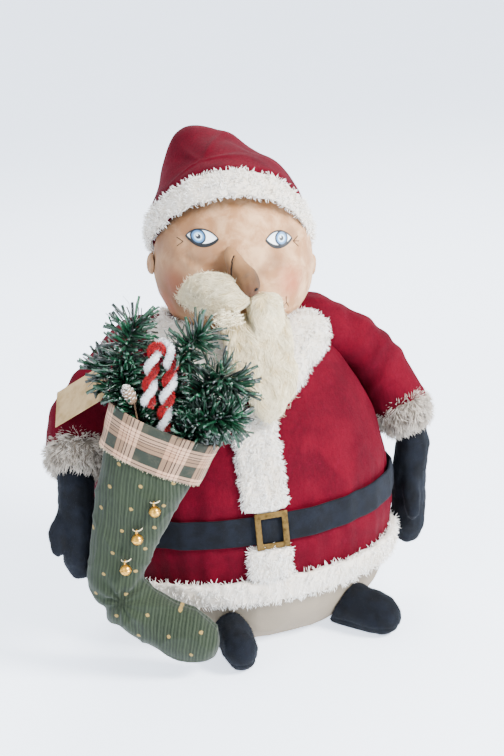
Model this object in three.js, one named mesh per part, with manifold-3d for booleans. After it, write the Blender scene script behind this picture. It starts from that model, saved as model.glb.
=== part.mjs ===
// A stuffed Santa doll with a Christmas stocking sewn to its right mitten.
// Millimetres, +Z up, the doll faces -Y, and the origin is on the floor under the middle of the body.
import * as THREE from 'three';
import { mergeVertices } from 'three/addons/utils/BufferGeometryUtils.js';
import Module from 'manifold-3d';

const wasm = await Module();
wasm.setup();

// Clearance and cloth
const GAP = 0.3;
const COAT_CLOTH = 2;
const HEAD_CLOTH = 2;
const SLEEVE_CLOTH = 2;
const HAT_CLOTH = 2;
const SOCK_CLOTH = 1.6;

// Body
const BODY_WIDTH = 256;
const BODY_DEPTH = 216;
const BODY_HEIGHT = 277;
const BASE_OPENING_WIDTH = 140;
const SEAT_RIM = 10;
const SEAT_WIDTH = BASE_OPENING_WIDTH + 2 * SEAT_RIM;
const BASE_COVER_THICK = 1.6;
const BASE_BOARD_THICK = 2.5;
const PELLET_HEIGHT = 46;
const HEM_BOTTOM = 47;
const HEM_TOP = 68;
const HEM_FUR = 7;
const BELT_MIDDLE = 111;
const BELT_TALL = 24;
const BELT_THICK = 2.6;
const PLACKET_WIDTH = 34;
const PLACKET_TOP = 206;
const PLACKET_BACKING = 1;
const PLACKET_FUR = 7;
const BUCKLE_OFFSET = 3;
const BUCKLE_WIDTH = 27;
const BUCKLE_TALL = 31;
const BUCKLE_BAR = 5;
const BUCKLE_THICK = 2;
const COLLAR_FUR = 9;
const COLLAR_FRONT = 213;
const COLLAR_POINT = 24;
const COLLAR_SLOPE = 1.05;
const COLLAR_BACK = 240;

// Head
const HEAD_X = 12;
const HEAD_Y = -2;
const HEAD_Z = 309;
const HEAD_TILT = 8;
const HEAD_WIDTH = 134;
const HEAD_DEPTH = 124;
const HEAD_HEIGHT = 140;
const HEAD_RUNNING = 1.2;
const NECK_RADIUS = 17;
const NECK_BOTTOM = 206;
const NECK_TOP = 282;
const NECK_CLEARANCE = 0.5;
const EYE_APART = 62;
const EYE_ABOVE = 27;
const EYE_WIDE = 24;
const EYE_TALL = 13.5;
const IRIS_WIDE = 10.5;
const PAINT_THICK = 0.4;
const NOSE_LONG = 35;
const NOSE_BULB = 10;
const NOSE_BRIDGE = 5;
const NOSE_TOP = 22;
const NOSE_X = -4;
const NOSE_SLANT = 13;
const EAR_TALL = 19;
const EAR_WIDE = 10;
const EAR_THICK = 5;
const EAR_BACK = 3;
const EAR_ABOVE = -4;
const MOUSTACHE_TALL = 34;
const MOUSTACHE_THICK = 20;
const MOUSTACHE_RIGHT = 50;
const MOUSTACHE_LEFT = 20;
const BEARD_WIDE = 55;
const BEARD_THICK = 13;
const BEARD_TIP = 200;
const BEARD_STANDOFF = 98;
const WOOL_CLEARANCE = 0.4;

// Hat
const HAT_TILT = 35;
const HAT_LIFT = 32;
const HAT_BACK = 12;
const HAT_TALL = 88;
const HAT_GRIP = 2;
const HAT_LEAN = 20;
const HAT_SQUASH = 0.98;
const BRIM_TALL = 32;
const BRIM_FUR = 7;
const TAIL_LONG = 112;
const TAIL_ROOT_RADIUS = 22;
const TAIL_TIP_RADIUS = 8;
const POMPOM_RADIUS = 17;

// Arms
const SHOULDER_X = 66;
const SHOULDER_Y = 10;
const SHOULDER_Z = 246;
const SHOULDER_RADIUS = 23;
const SLEEVE_RADIUS = 24;
const ARM_BACK = 15;
const ARM_FORWARD = 60;
const CUFF_RADIUS = 28;
const CUFF_TALL = 32;
const WRIST_RADIUS = 15;
const MITTEN_LONG = 104;
const MITTEN_WIDE = 17;
const MITTEN_THICK = 14;
const THUMB_RADIUS = 8;

// Boots
const BOOT_LONG = 60;
const BOOT_WIDE = 30;
const BOOT_TALL = 50;

// Stocking
const SOCK_X = -90;
const SOCK_Y = -115;
const SOCK_TURN = 18;
const SOCK_THICK = 38;
const SOCK_LEG_WIDE = 76;
const SOCK_ANKLE_WIDE = 46;
const SOCK_FOOT_WIDE = 44;
const PLAID_TALL = 36;
const PLAID_CLOTH = 1.4;
const PLAID_FLARE = 4;

// Bough, cane, bells, cone and tag
const STEM_RADIUS = 1.4;
const NEEDLE_LONG = 22;
const NEEDLE_RADIUS = 0.6;
const NEEDLES_PER_TWIG = 28;
const CANE_STRAND = 2.3;
const CANE_APART = 0.6;
const CANE_PITCH = 34;
const BELL_RADIUS = 5;
const BELL_WALL = 0.6;
const BELL_SLOT = 1.3;
const BELL_EYE = 2;
const BELL_WIRE = 0.6;
const PEA_RADIUS = 1.5;
const CONE_RADIUS = 7;
const CONE_TALL = 20;
const TAG_LONG = 60;
const TAG_WIDE = 34;
const TAG_THICK = 0.5;
const TAG_CLIP = 9;
const TAG_HOLE = 2;
const TAG_LIFT = 7;
const THREAD_RADIUS = 0.45;
const THREAD_WIDE = 12;

const radians = THREE.MathUtils.degToRad;
const at = (x, y, z) => new THREE.Vector3(x, y, z);

const colours = {
  velvet: { color: 0x8e0f24, roughness: 0.85 },
  fur: { color: 0xece6db, roughness: 1 },
  wool: { color: 0xe6ddc4, roughness: 1 },
  navy: { color: 0x1d2430, roughness: 0.9 },
  skin: { color: 0xdcb08c, roughness: 0.95 },
  stuffing: { color: 0xf2f2ee, roughness: 1 },
  muslin: { color: 0xd9cfb8, roughness: 1 },
  card: { color: 0xa78a63, roughness: 0.9 },
  bronze: { color: 0x8a7146, roughness: 0.45, metalness: 0.9 },
  gold: { color: 0xc79a3c, roughness: 0.3, metalness: 1 },
  steel: { color: 0x8d8f92, roughness: 0.4, metalness: 1 },
  stripe: { color: 0x8aa67c, roughness: 0.95 },
  plaid: { color: 0xb9a888, roughness: 0.95 },
  pine: { color: 0x12452c, roughness: 0.5 },
  red: { color: 0xc8161d, roughness: 1 },
  white: { color: 0xf4f4f2, roughness: 1 },
  cone: { color: 0x6d5a48, roughness: 0.9 },
  paper: { color: 0xe9dfc6, roughness: 0.95 },
  eyeWhite: { color: 0xf3f6f8, roughness: 0.6 },
  iris: { color: 0x6f9cc4, roughness: 0.5 },
};

const doll = new THREE.Group();

// A closed geometry becomes a solid once its shared corners are merged
function toSolid(geometry) {
  const bare = geometry.clone();
  for (const name of Object.keys(bare.attributes)) {
    if (name !== 'position') bare.deleteAttribute(name);
  }
  const welded = mergeVertices(bare, 1e-3);
  const index = welded.index.array;
  const position = welded.attributes.position;
  const corners = [];
  let volume = 0;
  for (let i = 0; i < index.length; i += 3) {
    const [a, b, c] = [index[i], index[i + 1], index[i + 2]];
    if (a !== b && b !== c && c !== a) {
      corners.push(a, b, c);
      const [p, q, r] = [a, b, c].map((k) => new THREE.Vector3().fromBufferAttribute(position, k));
      volume += p.dot(q.cross(r));
    }
  }
  if (volume < 0) corners.reverse();
  const mesh = new wasm.Mesh({
    numProp: 3,
    vertProperties: new Float32Array(position.array),
    triVerts: new Uint32Array(corners),
  });
  return new wasm.Manifold(mesh);
}

function toGeometry(solid) {
  const mesh = solid.getMesh();
  const geometry = new THREE.BufferGeometry();
  geometry.setAttribute('position', new THREE.BufferAttribute(mesh.vertProperties, 3));
  geometry.setIndex(new THREE.BufferAttribute(mesh.triVerts, 1));
  geometry.computeVertexNormals();
  return geometry;
}

function cut(solid, ...tools) {
  return tools.reduce((left, tool) => left.subtract(tool), solid);
}

function addPiece(parent, name, solid, colour) {
  const mesh = new THREE.Mesh(toGeometry(solid), new THREE.MeshStandardMaterial(colours[colour]));
  mesh.name = name;
  parent.add(mesh);
  return mesh;
}

function box(low, high) {
  const size = new THREE.Vector3().subVectors(high, low);
  const middle = new THREE.Vector3().addVectors(low, high).multiplyScalar(0.5);
  return toSolid(new THREE.BoxGeometry(size.x, size.y, size.z).translate(middle.x, middle.y, middle.z));
}

function ellipsoid(centre, rx, ry, rz, across = 24, up = 14) {
  const sphere = new THREE.SphereGeometry(1, across, up).rotateX(Math.PI / 2);
  return toSolid(sphere.scale(rx, ry, rz).translate(centre.x, centre.y, centre.z));
}

// A cylinder mesh whose rings are laid along a curve: sizeAt gives each ring's two half sizes,
// the first along the across direction. Rings crowd towards the ends, so that round ends stay round.
const THINNEST = 0.05;
function swept(curve, sizeAt, across, sides, rings, grow = 0) {
  const geometry = new THREE.CylinderGeometry(1, 1, 1, sides, rings);
  const position = geometry.attributes.position;
  for (let i = 0; i < position.count; i += 1) {
    const along = THREE.MathUtils.clamp(position.getY(i) + 0.5, 0, 1);
    const t = (1 - Math.cos(Math.PI * along)) / 2;
    const centre = curve.getPointAt(t);
    const tangent = curve.getTangentAt(t);
    const side = across.clone().addScaledVector(tangent, -across.dot(tangent)).normalize();
    const up = new THREE.Vector3().crossVectors(side, tangent);
    const [halfWide, halfThick] = sizeAt(t);
    const push = (2 * t - 1) * grow;
    centre.addScaledVector(tangent, push);
    centre.addScaledVector(side, position.getX(i) * Math.max(halfWide + grow, THINNEST));
    centre.addScaledVector(up, position.getZ(i) * Math.max(halfThick + grow, THINNEST));
    position.setXYZ(i, centre.x, centre.y, centre.z);
  }
  return toSolid(geometry);
}

// Values spread evenly along a form, joined by a smooth curve
function along(values) {
  const curve = new THREE.SplineCurve(values.map((value, i) => new THREE.Vector2(i, value)));
  return (t) => curve.getPoint(t).y;
}

// One at the middle of a form and zero at its round ends
function roundEnds(t, start, end) {
  const first = start > 0 ? Math.min(t / start, 1) : 1;
  const last = end > 0 ? Math.min((1 - t) / end, 1) : 1;
  return Math.sqrt(1 - (1 - first) ** 2 + 1e-4) * Math.sqrt(1 - (1 - last) ** 2 + 1e-4);
}

// Faces round each form
const BODY_SIDES = 22;
const LINING_SIDES = 12;
const LIMB_SIDES = 12;

// Body form: a turned egg, squashed from front to back
const BODY_OUTLINE = [
  [0.79, 0.045],
  [0.9, 0.115],
  [0.965, 0.21],
  [0.995, 0.325],
  [1, 0.42],
  [0.975, 0.525],
  [0.92, 0.62],
  [0.835, 0.715],
  [0.725, 0.8],
  [0.61, 0.877],
  [0.485, 0.935],
  [0.33, 0.98],
];
const bodySquash = BODY_DEPTH / BODY_WIDTH;

function bodyProfile(grow) {
  const points = [new THREE.Vector2(0, -grow), new THREE.Vector2(SEAT_WIDTH / 2 + grow, -grow)];
  for (const [wide, high] of BODY_OUTLINE) {
    points.push(new THREE.Vector2(wide * BODY_WIDTH / 2 + grow, high * BODY_HEIGHT));
  }
  points.push(new THREE.Vector2(0, BODY_HEIGHT + grow));
  return points;
}

function bodyForm(grow, sides = BODY_SIDES) {
  const lathe = new THREE.LatheGeometry(bodyProfile(grow), sides).rotateX(Math.PI / 2);
  const deep = (BODY_DEPTH / 2 + grow) / (BODY_WIDTH / 2 + grow);
  return toSolid(lathe.scale(1, deep, 1));
}

// The body's half width at a height, and how far forward its surface lies at a place
function bodySide(z) {
  const points = bodyProfile(0);
  const above = points.findIndex((point, i) => i > 1 && point.y >= z);
  const [low, high] = [points[above - 1], points[above]];
  return THREE.MathUtils.mapLinear(z, low.y, high.y, low.x, high.x);
}

function bodyFront(x, z) {
  const side = bodySide(z);
  return -bodySquash * Math.sqrt(Math.max(side * side - x * x, 0));
}

// The brim's ring is tilted with the hat, and slides back along its own tilt to sit on the crown
const brimPlace = new THREE.Matrix4()
  .makeTranslation(0, 0, HAT_LIFT)
  .multiply(new THREE.Matrix4().makeRotationX(-radians(HAT_TILT)))
  .multiply(new THREE.Matrix4().makeTranslation(0, HAT_BACK, 0));
const capRadius = HEAD_WIDTH / 2 - HAT_GRIP;
const brimTube = BRIM_FUR * 0.9;
const brimMiddle = capRadius + HAT_CLOTH + BRIM_FUR * 0.35;
const brimForm = (grow) => toSolid(
  new THREE.TorusGeometry(brimMiddle, brimTube + grow, 6, 20).scale(1, HAT_SQUASH, BRIM_TALL / 2 / brimTube),
);

// Head form: an egg with cheeks, a brow and a chin, in the head's own tilted frame
const HEAD_FEATURES = [
  { x: -0.55, y: -0.62, z: -0.28, lift: 0.05, reach: 0.42 },
  { x: 0.55, y: -0.62, z: -0.28, lift: 0.05, reach: 0.42 },
  { x: 0, y: -0.75, z: -0.62, lift: 0.05, reach: 0.34 },
  { x: -0.42, y: -0.8, z: 0.38, lift: -0.035, reach: 0.22 },
  { x: 0.42, y: -0.8, z: 0.38, lift: -0.035, reach: 0.22 },
];

function headScale(direction) {
  let scale = 1;
  for (const feature of HEAD_FEATURES) {
    const bump = at(feature.x, feature.y, feature.z).normalize();
    const away = direction.angleTo(bump) / feature.reach;
    scale += feature.lift * Math.exp(-away * away);
  }
  return scale;
}

function headForm(grow, across = 22, up = 14) {
  const sphere = new THREE.SphereGeometry(1, across, up).rotateX(Math.PI / 2);
  const position = sphere.attributes.position;
  for (let i = 0; i < position.count; i += 1) {
    const direction = new THREE.Vector3().fromBufferAttribute(position, i).normalize();
    const scale = headScale(direction);
    position.setXYZ(
      i,
      direction.x * (HEAD_WIDTH / 2 * scale + grow),
      direction.y * (HEAD_DEPTH / 2 * scale + grow),
      direction.z * (HEAD_HEIGHT / 2 * scale + grow),
    );
  }
  return toSolid(sphere);
}

// How far forward the face lies at a place in the head's own frame
function faceFront(x, z) {
  const inside = 1 - (2 * x / HEAD_WIDTH) ** 2 - (2 * z / HEAD_HEIGHT) ** 2;
  const direction = at(2 * x / HEAD_WIDTH, -Math.sqrt(Math.max(inside, 0)), 2 * z / HEAD_HEIGHT);
  return direction.y * HEAD_DEPTH / 2 * headScale(direction.normalize());
}

const headPlace = new THREE.Matrix4()
  .makeRotationY(radians(HEAD_TILT))
  .setPosition(HEAD_X, HEAD_Y, HEAD_Z);
const headReturn = headPlace.clone().invert();
const placed = (solid, matrix) => solid.transform(matrix.elements);

// The round space that the head needs as it turns
const headSweepRadius = Math.max(HEAD_WIDTH, HEAD_DEPTH) / 2 * 1.05 + HEAD_RUNNING;
const headSweep = ellipsoid(
  at(HEAD_X, HEAD_Y, HEAD_Z),
  headSweepRadius,
  headSweepRadius,
  HEAD_HEIGHT / 2 * 1.04 + HEAD_RUNNING,
  20,
  12,
);
const neckBore = (radius) => toSolid(
  new THREE.CylinderGeometry(radius, radius, HEAD_HEIGHT, 16)
    .rotateX(Math.PI / 2)
    .translate(HEAD_X, HEAD_Y, NECK_TOP - HEAD_HEIGHT / 2),
);

// Arms: each follows a curve from a flat seam on the body's side to the wrist. The left one hangs
// and the right one reaches forward to the stocking.
const ARM_POINTS = {
  left: [
    { y: SHOULDER_Y, z: SHOULDER_Z - 2, out: -2 },
    { y: 12, z: 220, out: 18 },
    { y: 8, z: 188, out: 24 },
    { y: 2, z: 156, out: 26 },
  ],
  right: [
    { y: 2, z: SHOULDER_Z - 4, out: 0 },
    { y: -36, z: 212, out: 26 },
    { y: -50, z: 196, out: 28 },
    { y: -62, z: 180, out: 26 },
  ],
};

function armCurve(side) {
  const points = ARM_POINTS[side < 0 ? 'right' : 'left'];
  const seam = at(side * (SHOULDER_X - 6), SHOULDER_Y, SHOULDER_Z);
  const rest = points.map((point) => at(side * (bodySide(point.z) + point.out), point.y, point.z));
  return new THREE.CatmullRomCurve3([seam, ...rest]);
}

const armhole = (side, grow) => toSolid(
  new THREE.CylinderGeometry(SHOULDER_RADIUS + 3 + grow, SHOULDER_RADIUS + 3 + grow, BODY_WIDTH, 20)
    .rotateZ(Math.PI / 2)
    .translate(side * (SHOULDER_X - GAP + BODY_WIDTH / 2), SHOULDER_Y, SHOULDER_Z),
);
const armholes = [armhole(-1, 0), armhole(1, 0)];

// Coat, base and stuffing
const baseOpening = (radius, top) => toSolid(
  new THREE.CylinderGeometry(radius, radius, top + 1, 24)
    .rotateX(Math.PI / 2)
    .translate(0, 0, (top - 1) / 2)
    .scale(1, bodySquash, 1),
);
const hollow = bodyForm(-COAT_CLOTH, LINING_SIDES);
const coat = cut(
  bodyForm(0),
  cut(hollow, armhole(-1, COAT_CLOTH), armhole(1, COAT_CLOTH)),
  baseOpening(BASE_OPENING_WIDTH / 2, COAT_CLOTH + 1),
  headSweep,
  ...armholes,
);
addPiece(doll, 'coat_body', coat, 'velvet');

const baseCoverTop = BASE_COVER_THICK;
const baseBoardTop = Math.max(baseCoverTop, COAT_CLOTH) + GAP + BASE_BOARD_THICK;
const inFilling = bodyForm(-COAT_CLOTH - GAP, LINING_SIDES);
const disc = (radius, bottom, top) => toSolid(
  new THREE.CylinderGeometry(radius, radius, top - bottom, 24)
    .rotateX(Math.PI / 2)
    .translate(0, 0, (bottom + top) / 2)
    .scale(1, bodySquash, 1),
);
addPiece(doll, 'base_cover', disc(BASE_OPENING_WIDTH / 2 - GAP, 0, baseCoverTop), 'muslin');
const boardRadius = (BASE_OPENING_WIDTH + SEAT_RIM) / 2;
addPiece(doll, 'base_board', disc(boardRadius, baseBoardTop - BASE_BOARD_THICK, baseBoardTop), 'card');
const slab = (bottom, top) => box(at(-BODY_WIDTH, -BODY_DEPTH, bottom), at(BODY_WIDTH, BODY_DEPTH, top));
const pelletTop = baseBoardTop + GAP + PELLET_HEIGHT;
addPiece(doll, 'pellet_bag', inFilling.intersect(slab(baseBoardTop + GAP, pelletTop)), 'muslin');
const neckFoot = toSolid(
  new THREE.CylinderGeometry(NECK_RADIUS + GAP, NECK_RADIUS + GAP, BODY_HEIGHT, 16)
    .rotateX(Math.PI / 2)
    .translate(HEAD_X, HEAD_Y, NECK_BOTTOM - GAP + BODY_HEIGHT / 2),
);
const bodyStuffing = cut(
  inFilling.intersect(slab(pelletTop + GAP, BODY_HEIGHT)),
  headSweep,
  neckFoot,
  armhole(-1, COAT_CLOTH + GAP).translate([COAT_CLOTH, 0, 0]),
  armhole(1, COAT_CLOTH + GAP).translate([-COAT_CLOTH, 0, 0]),
);
addPiece(doll, 'body_stuffing', bodyStuffing, 'stuffing');
const neck = toSolid(
  new THREE.CylinderGeometry(NECK_RADIUS, NECK_RADIUS, NECK_TOP - NECK_BOTTOM, 16)
    .rotateX(Math.PI / 2)
    .translate(HEAD_X, HEAD_Y, (NECK_TOP + NECK_BOTTOM) / 2),
);
addPiece(doll, 'neck_post', neck, 'muslin');

// Fur trim, belt and buckle follow the body's own surface
const onCoat = bodyForm(GAP);
const hem = cut(bodyForm(HEM_FUR), onCoat).intersect(slab(HEM_BOTTOM, HEM_TOP));
addPiece(doll, 'coat_hem', hem, 'fur');

const beltInside = PLACKET_BACKING + 2 * GAP;
const beltBand = (grow, tall) => bodyForm(grow).intersect(slab(BELT_MIDDLE - tall / 2, BELT_MIDDLE + tall / 2));
const belt = cut(beltBand(beltInside + BELT_THICK, BELT_TALL), bodyForm(beltInside));
addPiece(doll, 'belt', belt, 'navy');

const buckleBack = bodyFront(0, BELT_MIDDLE) - beltInside - BELT_THICK - GAP;
const plate = (wide, tall, back, thick) => box(
  at(BUCKLE_OFFSET - wide / 2, back - thick, BELT_MIDDLE - tall / 2),
  at(BUCKLE_OFFSET + wide / 2, back, BELT_MIDDLE + tall / 2),
);
const buckle = cut(
  plate(BUCKLE_WIDTH, BUCKLE_TALL, buckleBack, BUCKLE_THICK),
  plate(BUCKLE_WIDTH - 2 * BUCKLE_BAR, BUCKLE_TALL - 2 * BUCKLE_BAR, buckleBack + 1, BUCKLE_THICK + 2),
);
addPiece(doll, 'belt_buckle', buckle, 'bronze');

const placketStrip = box(
  at(-PLACKET_WIDTH / 2, -BODY_DEPTH, HEM_TOP + GAP),
  at(PLACKET_WIDTH / 2, 0, PLACKET_TOP),
);
const beltRoom = cut(
  beltBand(HEM_FUR + BODY_DEPTH, Math.max(BELT_TALL, BUCKLE_TALL) + 2 * GAP),
  bodyForm(GAP + PLACKET_BACKING),
);
const placket = cut(bodyForm(PLACKET_FUR), onCoat, beltRoom).intersect(placketStrip);
addPiece(doll, 'coat_placket', placket, 'fur');

// Collar: a fur band that runs round behind the head and comes down to a point in front
function collarRegion() {
  const top = BODY_HEIGHT + COLLAR_FUR;
  const wide = COLLAR_POINT + (top - COLLAR_FRONT) / COLLAR_SLOPE;
  const outline = new THREE.Shape([
    new THREE.Vector2(-COLLAR_POINT, COLLAR_FRONT),
    new THREE.Vector2(COLLAR_POINT, COLLAR_FRONT),
    new THREE.Vector2(wide, top),
    new THREE.Vector2(-wide, top),
  ]);
  const wedge = new THREE.ExtrudeGeometry(outline, { depth: BODY_DEPTH, bevelEnabled: false })
    .rotateX(Math.PI / 2)
    .translate(0, 1, 0);
  const behind = box(at(-BODY_WIDTH, 0, COLLAR_BACK), at(BODY_WIDTH, BODY_DEPTH, top));
  return toSolid(wedge).add(behind);
}
const beardRoom = toSolid(
  new THREE.CylinderGeometry(BEARD_STANDOFF, BEARD_STANDOFF, BODY_HEIGHT, 36)
    .rotateX(Math.PI / 2)
    .translate(HEAD_X, HEAD_Y, BODY_HEIGHT / 2 + PLACKET_TOP - 20),
);
const collar = cut(
  bodyForm(COLLAR_FUR).intersect(collarRegion()),
  onCoat,
  headSweep,
  armhole(-1, 2),
  armhole(1, 2),
).intersect(slab(PLACKET_TOP + GAP, BODY_HEIGHT + COLLAR_FUR));
addPiece(doll, 'coat_collar', collar, 'fur');

// Head
const head = new THREE.Group();
head.matrix.copy(headPlace);
head.matrix.decompose(head.position, head.quaternion, head.scale);
doll.add(head);
const boreInHead = (radius) => placed(neckBore(radius), headReturn);
const headSkin = cut(headForm(0), headForm(-HEAD_CLOTH, 14, 9), boreInHead(NECK_RADIUS + NECK_CLEARANCE));
addPiece(head, 'head_skin', headSkin, 'skin');
const headStuffing = cut(headForm(-HEAD_CLOTH - GAP, 14, 9), boreInHead(NECK_RADIUS + NECK_CLEARANCE));
addPiece(head, 'head_stuffing', headStuffing, 'stuffing');
const onFace = headForm(GAP);

// Painted eyes, as thin layers that follow the face
function eyePaint(side, wide, tall, low, high) {
  const shape = new THREE.Shape();
  const [x, z] = [side * EYE_APART / 2, EYE_ABOVE];
  shape.moveTo(x - wide / 2, z);
  shape.quadraticCurveTo(x, z + tall, x + wide / 2, z);
  shape.quadraticCurveTo(x, z - tall, x - wide / 2, z);
  const prism = new THREE.ExtrudeGeometry(shape, { depth: HEAD_DEPTH, bevelEnabled: false, curveSegments: 7 })
    .rotateX(Math.PI / 2);
  return cut(headForm(high).intersect(toSolid(prism)), headForm(low));
}
const irisPost = (side) => toSolid(
  new THREE.CylinderGeometry(IRIS_WIDE / 2, IRIS_WIDE / 2, HEAD_DEPTH, 16)
    .translate(side * EYE_APART / 2 - 1, -HEAD_DEPTH / 2, EYE_ABOVE),
);
for (const [name, side] of [['right', -1], ['left', 1]]) {
  const white = eyePaint(side, EYE_WIDE, EYE_TALL, GAP, GAP + PAINT_THICK);
  addPiece(head, `${name}_eye`, white, 'eyeWhite');
  const above = 2 * GAP + PAINT_THICK;
  const iris = cut(headForm(above + PAINT_THICK), headForm(above)).intersect(irisPost(side));
  addPiece(head, `${name}_iris`, iris, 'iris');
}

// Nose: a long stuffed piece, thin at the bridge and round at the tip
function noseForm(grow) {
  const bottom = NOSE_TOP - NOSE_LONG;
  const curve = new THREE.CatmullRomCurve3([
    at(NOSE_X - NOSE_SLANT, faceFront(NOSE_X - NOSE_SLANT, NOSE_TOP) - 2, NOSE_TOP),
    at(NOSE_X - NOSE_SLANT * 0.55, faceFront(0, NOSE_TOP / 2) - 9, NOSE_TOP - NOSE_LONG * 0.4),
    at(NOSE_X, faceFront(0, 0) - 16, NOSE_TOP - NOSE_LONG * 0.72),
    at(NOSE_X + NOSE_SLANT * 0.3, faceFront(0, 0) - 15, bottom),
  ]);
  const wide = along([NOSE_BRIDGE, NOSE_BRIDGE + 2, NOSE_BULB - 1, NOSE_BULB, NOSE_BULB - 1]);
  return swept(curve, (t) => {
    const round = roundEnds(t, 0.2, 0.3);
    return [wide(t) * round, wide(t) * round];
  }, at(1, 0, 0), 10, 8, grow);
}
addPiece(head, 'nose', cut(noseForm(0), onFace), 'skin');

for (const [name, side] of [['right', -1], ['left', 1]]) {
  const ear = ellipsoid(at(side * HEAD_WIDTH / 2, EAR_BACK, EAR_ABOVE), EAR_THICK, EAR_WIDE, EAR_TALL / 2, 8, 6);
  addPiece(head, `${name}_ear`, cut(ear, onFace, placed(brimForm(GAP), brimPlace)), 'skin');
}

// Moustache: two lobes of wool that meet under the nose; the left one hangs down beside the beard
function moustacheLobe(side, grow = 0) {
  const outX = side < 0 ? -MOUSTACHE_RIGHT : MOUSTACHE_LEFT;
  const outZ = side < 0 ? -22 : -35;
  const front = faceFront(0, -10);
  const curve = new THREE.CatmullRomCurve3([
    at(side * 0.5, front - 13, -17),
    at(outX * 0.5, front - 13, side < 0 ? -13 : -26),
    at(outX, faceFront(outX, outZ) - 7, outZ),
  ]);
  const tall = along([0.55, 0.95, 1, 0.8]);
  return swept(curve, (t) => {
    const round = roundEnds(t, 0.12, 0.45);
    return [MOUSTACHE_THICK / 2 * round, MOUSTACHE_TALL / 2 * tall(t) * round];
  }, at(0, 1, 0), 12, 8, grow);
}
const middle = box(at(-GAP / 2, -HEAD_DEPTH, -HEAD_HEIGHT), at(GAP / 2, 0, HEAD_HEIGHT));
const noseRoom = noseForm(GAP);
for (const [name, side] of [['right', -1], ['left', 1]]) {
  const half = box(
    at(side < 0 ? -HEAD_WIDTH : GAP / 2, -HEAD_DEPTH, -HEAD_HEIGHT),
    at(side < 0 ? -GAP / 2 : HEAD_WIDTH, 0, HEAD_HEIGHT),
  );
  const lobe = cut(moustacheLobe(side).intersect(half), onFace, noseRoom, middle);
  addPiece(head, `${name}_moustache`, lobe, 'wool');
}

// Beard: hangs from under the moustache and stands clear of the collar as the head turns
function beardForm() {
  const chin = at(HEAD_X, HEAD_Y + faceFront(0, -30) - 4, HEAD_Z - 30);
  const out = HEAD_Y - BEARD_STANDOFF - BEARD_THICK / 2 - 0.5;
  const curve = new THREE.CatmullRomCurve3([
    chin,
    at(HEAD_X, (chin.y + out) / 2 - 4, (chin.z + BEARD_TIP) / 2 + 12),
    at(HEAD_X + 2, out, BEARD_TIP + 26),
    at(HEAD_X - 3, out - 1, BEARD_TIP),
  ]);
  const wide = along([0.9, 1, 0.95, 0.7, 0.4]);
  return swept(curve, (t) => {
    const round = roundEnds(t, 0.12, 0.3);
    return [BEARD_WIDE / 2 * wide(t) * round, BEARD_THICK / 2 * (1.5 - 0.5 * t) * round];
  }, at(1, 0, 0), 12, 9);
}
const faceRoom = placed(onFace, headPlace);
const lobeRooms = [-1, 1].map((side) => placed(moustacheLobe(side, WOOL_CLEARANCE), headPlace));
const beard = cut(beardForm(), faceRoom, placed(noseRoom, headPlace), ...lobeRooms, beardRoom.intersect(
  slab(0, HEAD_Z - HEAD_HEIGHT / 2 + 8),
));
addPiece(doll, 'beard', beard, 'wool');

// Hat: a velvet cap on a tilted ring, a fur brim, and a tail that hangs behind
function capForm(grow) {
  const curve = new THREE.CatmullRomCurve3([
    at(0, 0, 0),
    at(-HAT_LEAN * 0.3, 0, HAT_TALL * 0.35),
    at(-HAT_LEAN * 0.75, 0, HAT_TALL * 0.7),
    at(-HAT_LEAN, 0, HAT_TALL),
  ]);
  const wide = along([1, 0.965, 0.87, 0.7, 0.48, 0.22]);
  return swept(curve, (t) => {
    const size = capRadius * wide(t) * roundEnds(t, 0, 0.1);
    return [size, size * HAT_SQUASH];
  }, at(1, 0, 0), 18, 5, grow);
}
const capOuter = placed(capForm(HAT_CLOTH), brimPlace);
const capOpening = placed(
  toSolid(new THREE.CylinderGeometry(capRadius, capRadius, 8, 20).rotateX(Math.PI / 2).scale(1, HAT_SQUASH, 1)),
  brimPlace,
);
const hatCap = cut(capOuter, placed(capForm(0), brimPlace), capOpening, onFace);
addPiece(head, 'hat_cap', hatCap, 'velvet');

const brim = cut(placed(brimForm(0), brimPlace), placed(capForm(HAT_CLOTH + GAP), brimPlace), onFace);
addPiece(head, 'hat_brim', brim, 'fur');

// Hat tail and pompom, in the doll's frame
const capTop = at(-HAT_LEAN, 0, HAT_TALL + HAT_CLOTH).applyMatrix4(brimPlace).applyMatrix4(headPlace);
const tailRoot = at(capTop.x + 8, capTop.y + 12, capTop.z - 13);
function tailForm() {
  const curve = new THREE.CatmullRomCurve3([
    tailRoot,
    at(tailRoot.x + 3, tailRoot.y + TAIL_LONG * 0.18, tailRoot.z - TAIL_LONG * 0.22),
    at(tailRoot.x + 5, tailRoot.y + TAIL_LONG * 0.26, tailRoot.z - TAIL_LONG * 0.6),
    at(tailRoot.x + 4, tailRoot.y + TAIL_LONG * 0.24, tailRoot.z - TAIL_LONG * 0.95),
  ]);
  return swept(curve, (t) => {
    const radius = THREE.MathUtils.lerp(TAIL_ROOT_RADIUS, TAIL_TIP_RADIUS, t) * roundEnds(t, 0.08, 0);
    return [radius, radius * 0.62];
  }, at(1, 0, 0), 12, 6);
}
const capRoom = placed(placed(capForm(HAT_CLOTH + GAP), brimPlace), headPlace);
const brimRoom = placed(placed(brimForm(GAP), brimPlace), headPlace);
const tailEnd = at(tailRoot.x + 4, tailRoot.y + TAIL_LONG * 0.24, tailRoot.z - TAIL_LONG * 0.95);
const pompomCentre = at(tailEnd.x, tailEnd.y, tailEnd.z - POMPOM_RADIUS * 0.8);
const pompomBall = (grow) => ellipsoid(
  pompomCentre,
  POMPOM_RADIUS + grow,
  POMPOM_RADIUS + grow,
  POMPOM_RADIUS + grow,
  12,
  8,
);
addPiece(doll, 'hat_tail', cut(tailForm(), capRoom, brimRoom, pompomBall(GAP)), 'velvet');
addPiece(doll, 'hat_pompom', cut(pompomBall(0), capRoom, brimRoom), 'fur');

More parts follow.
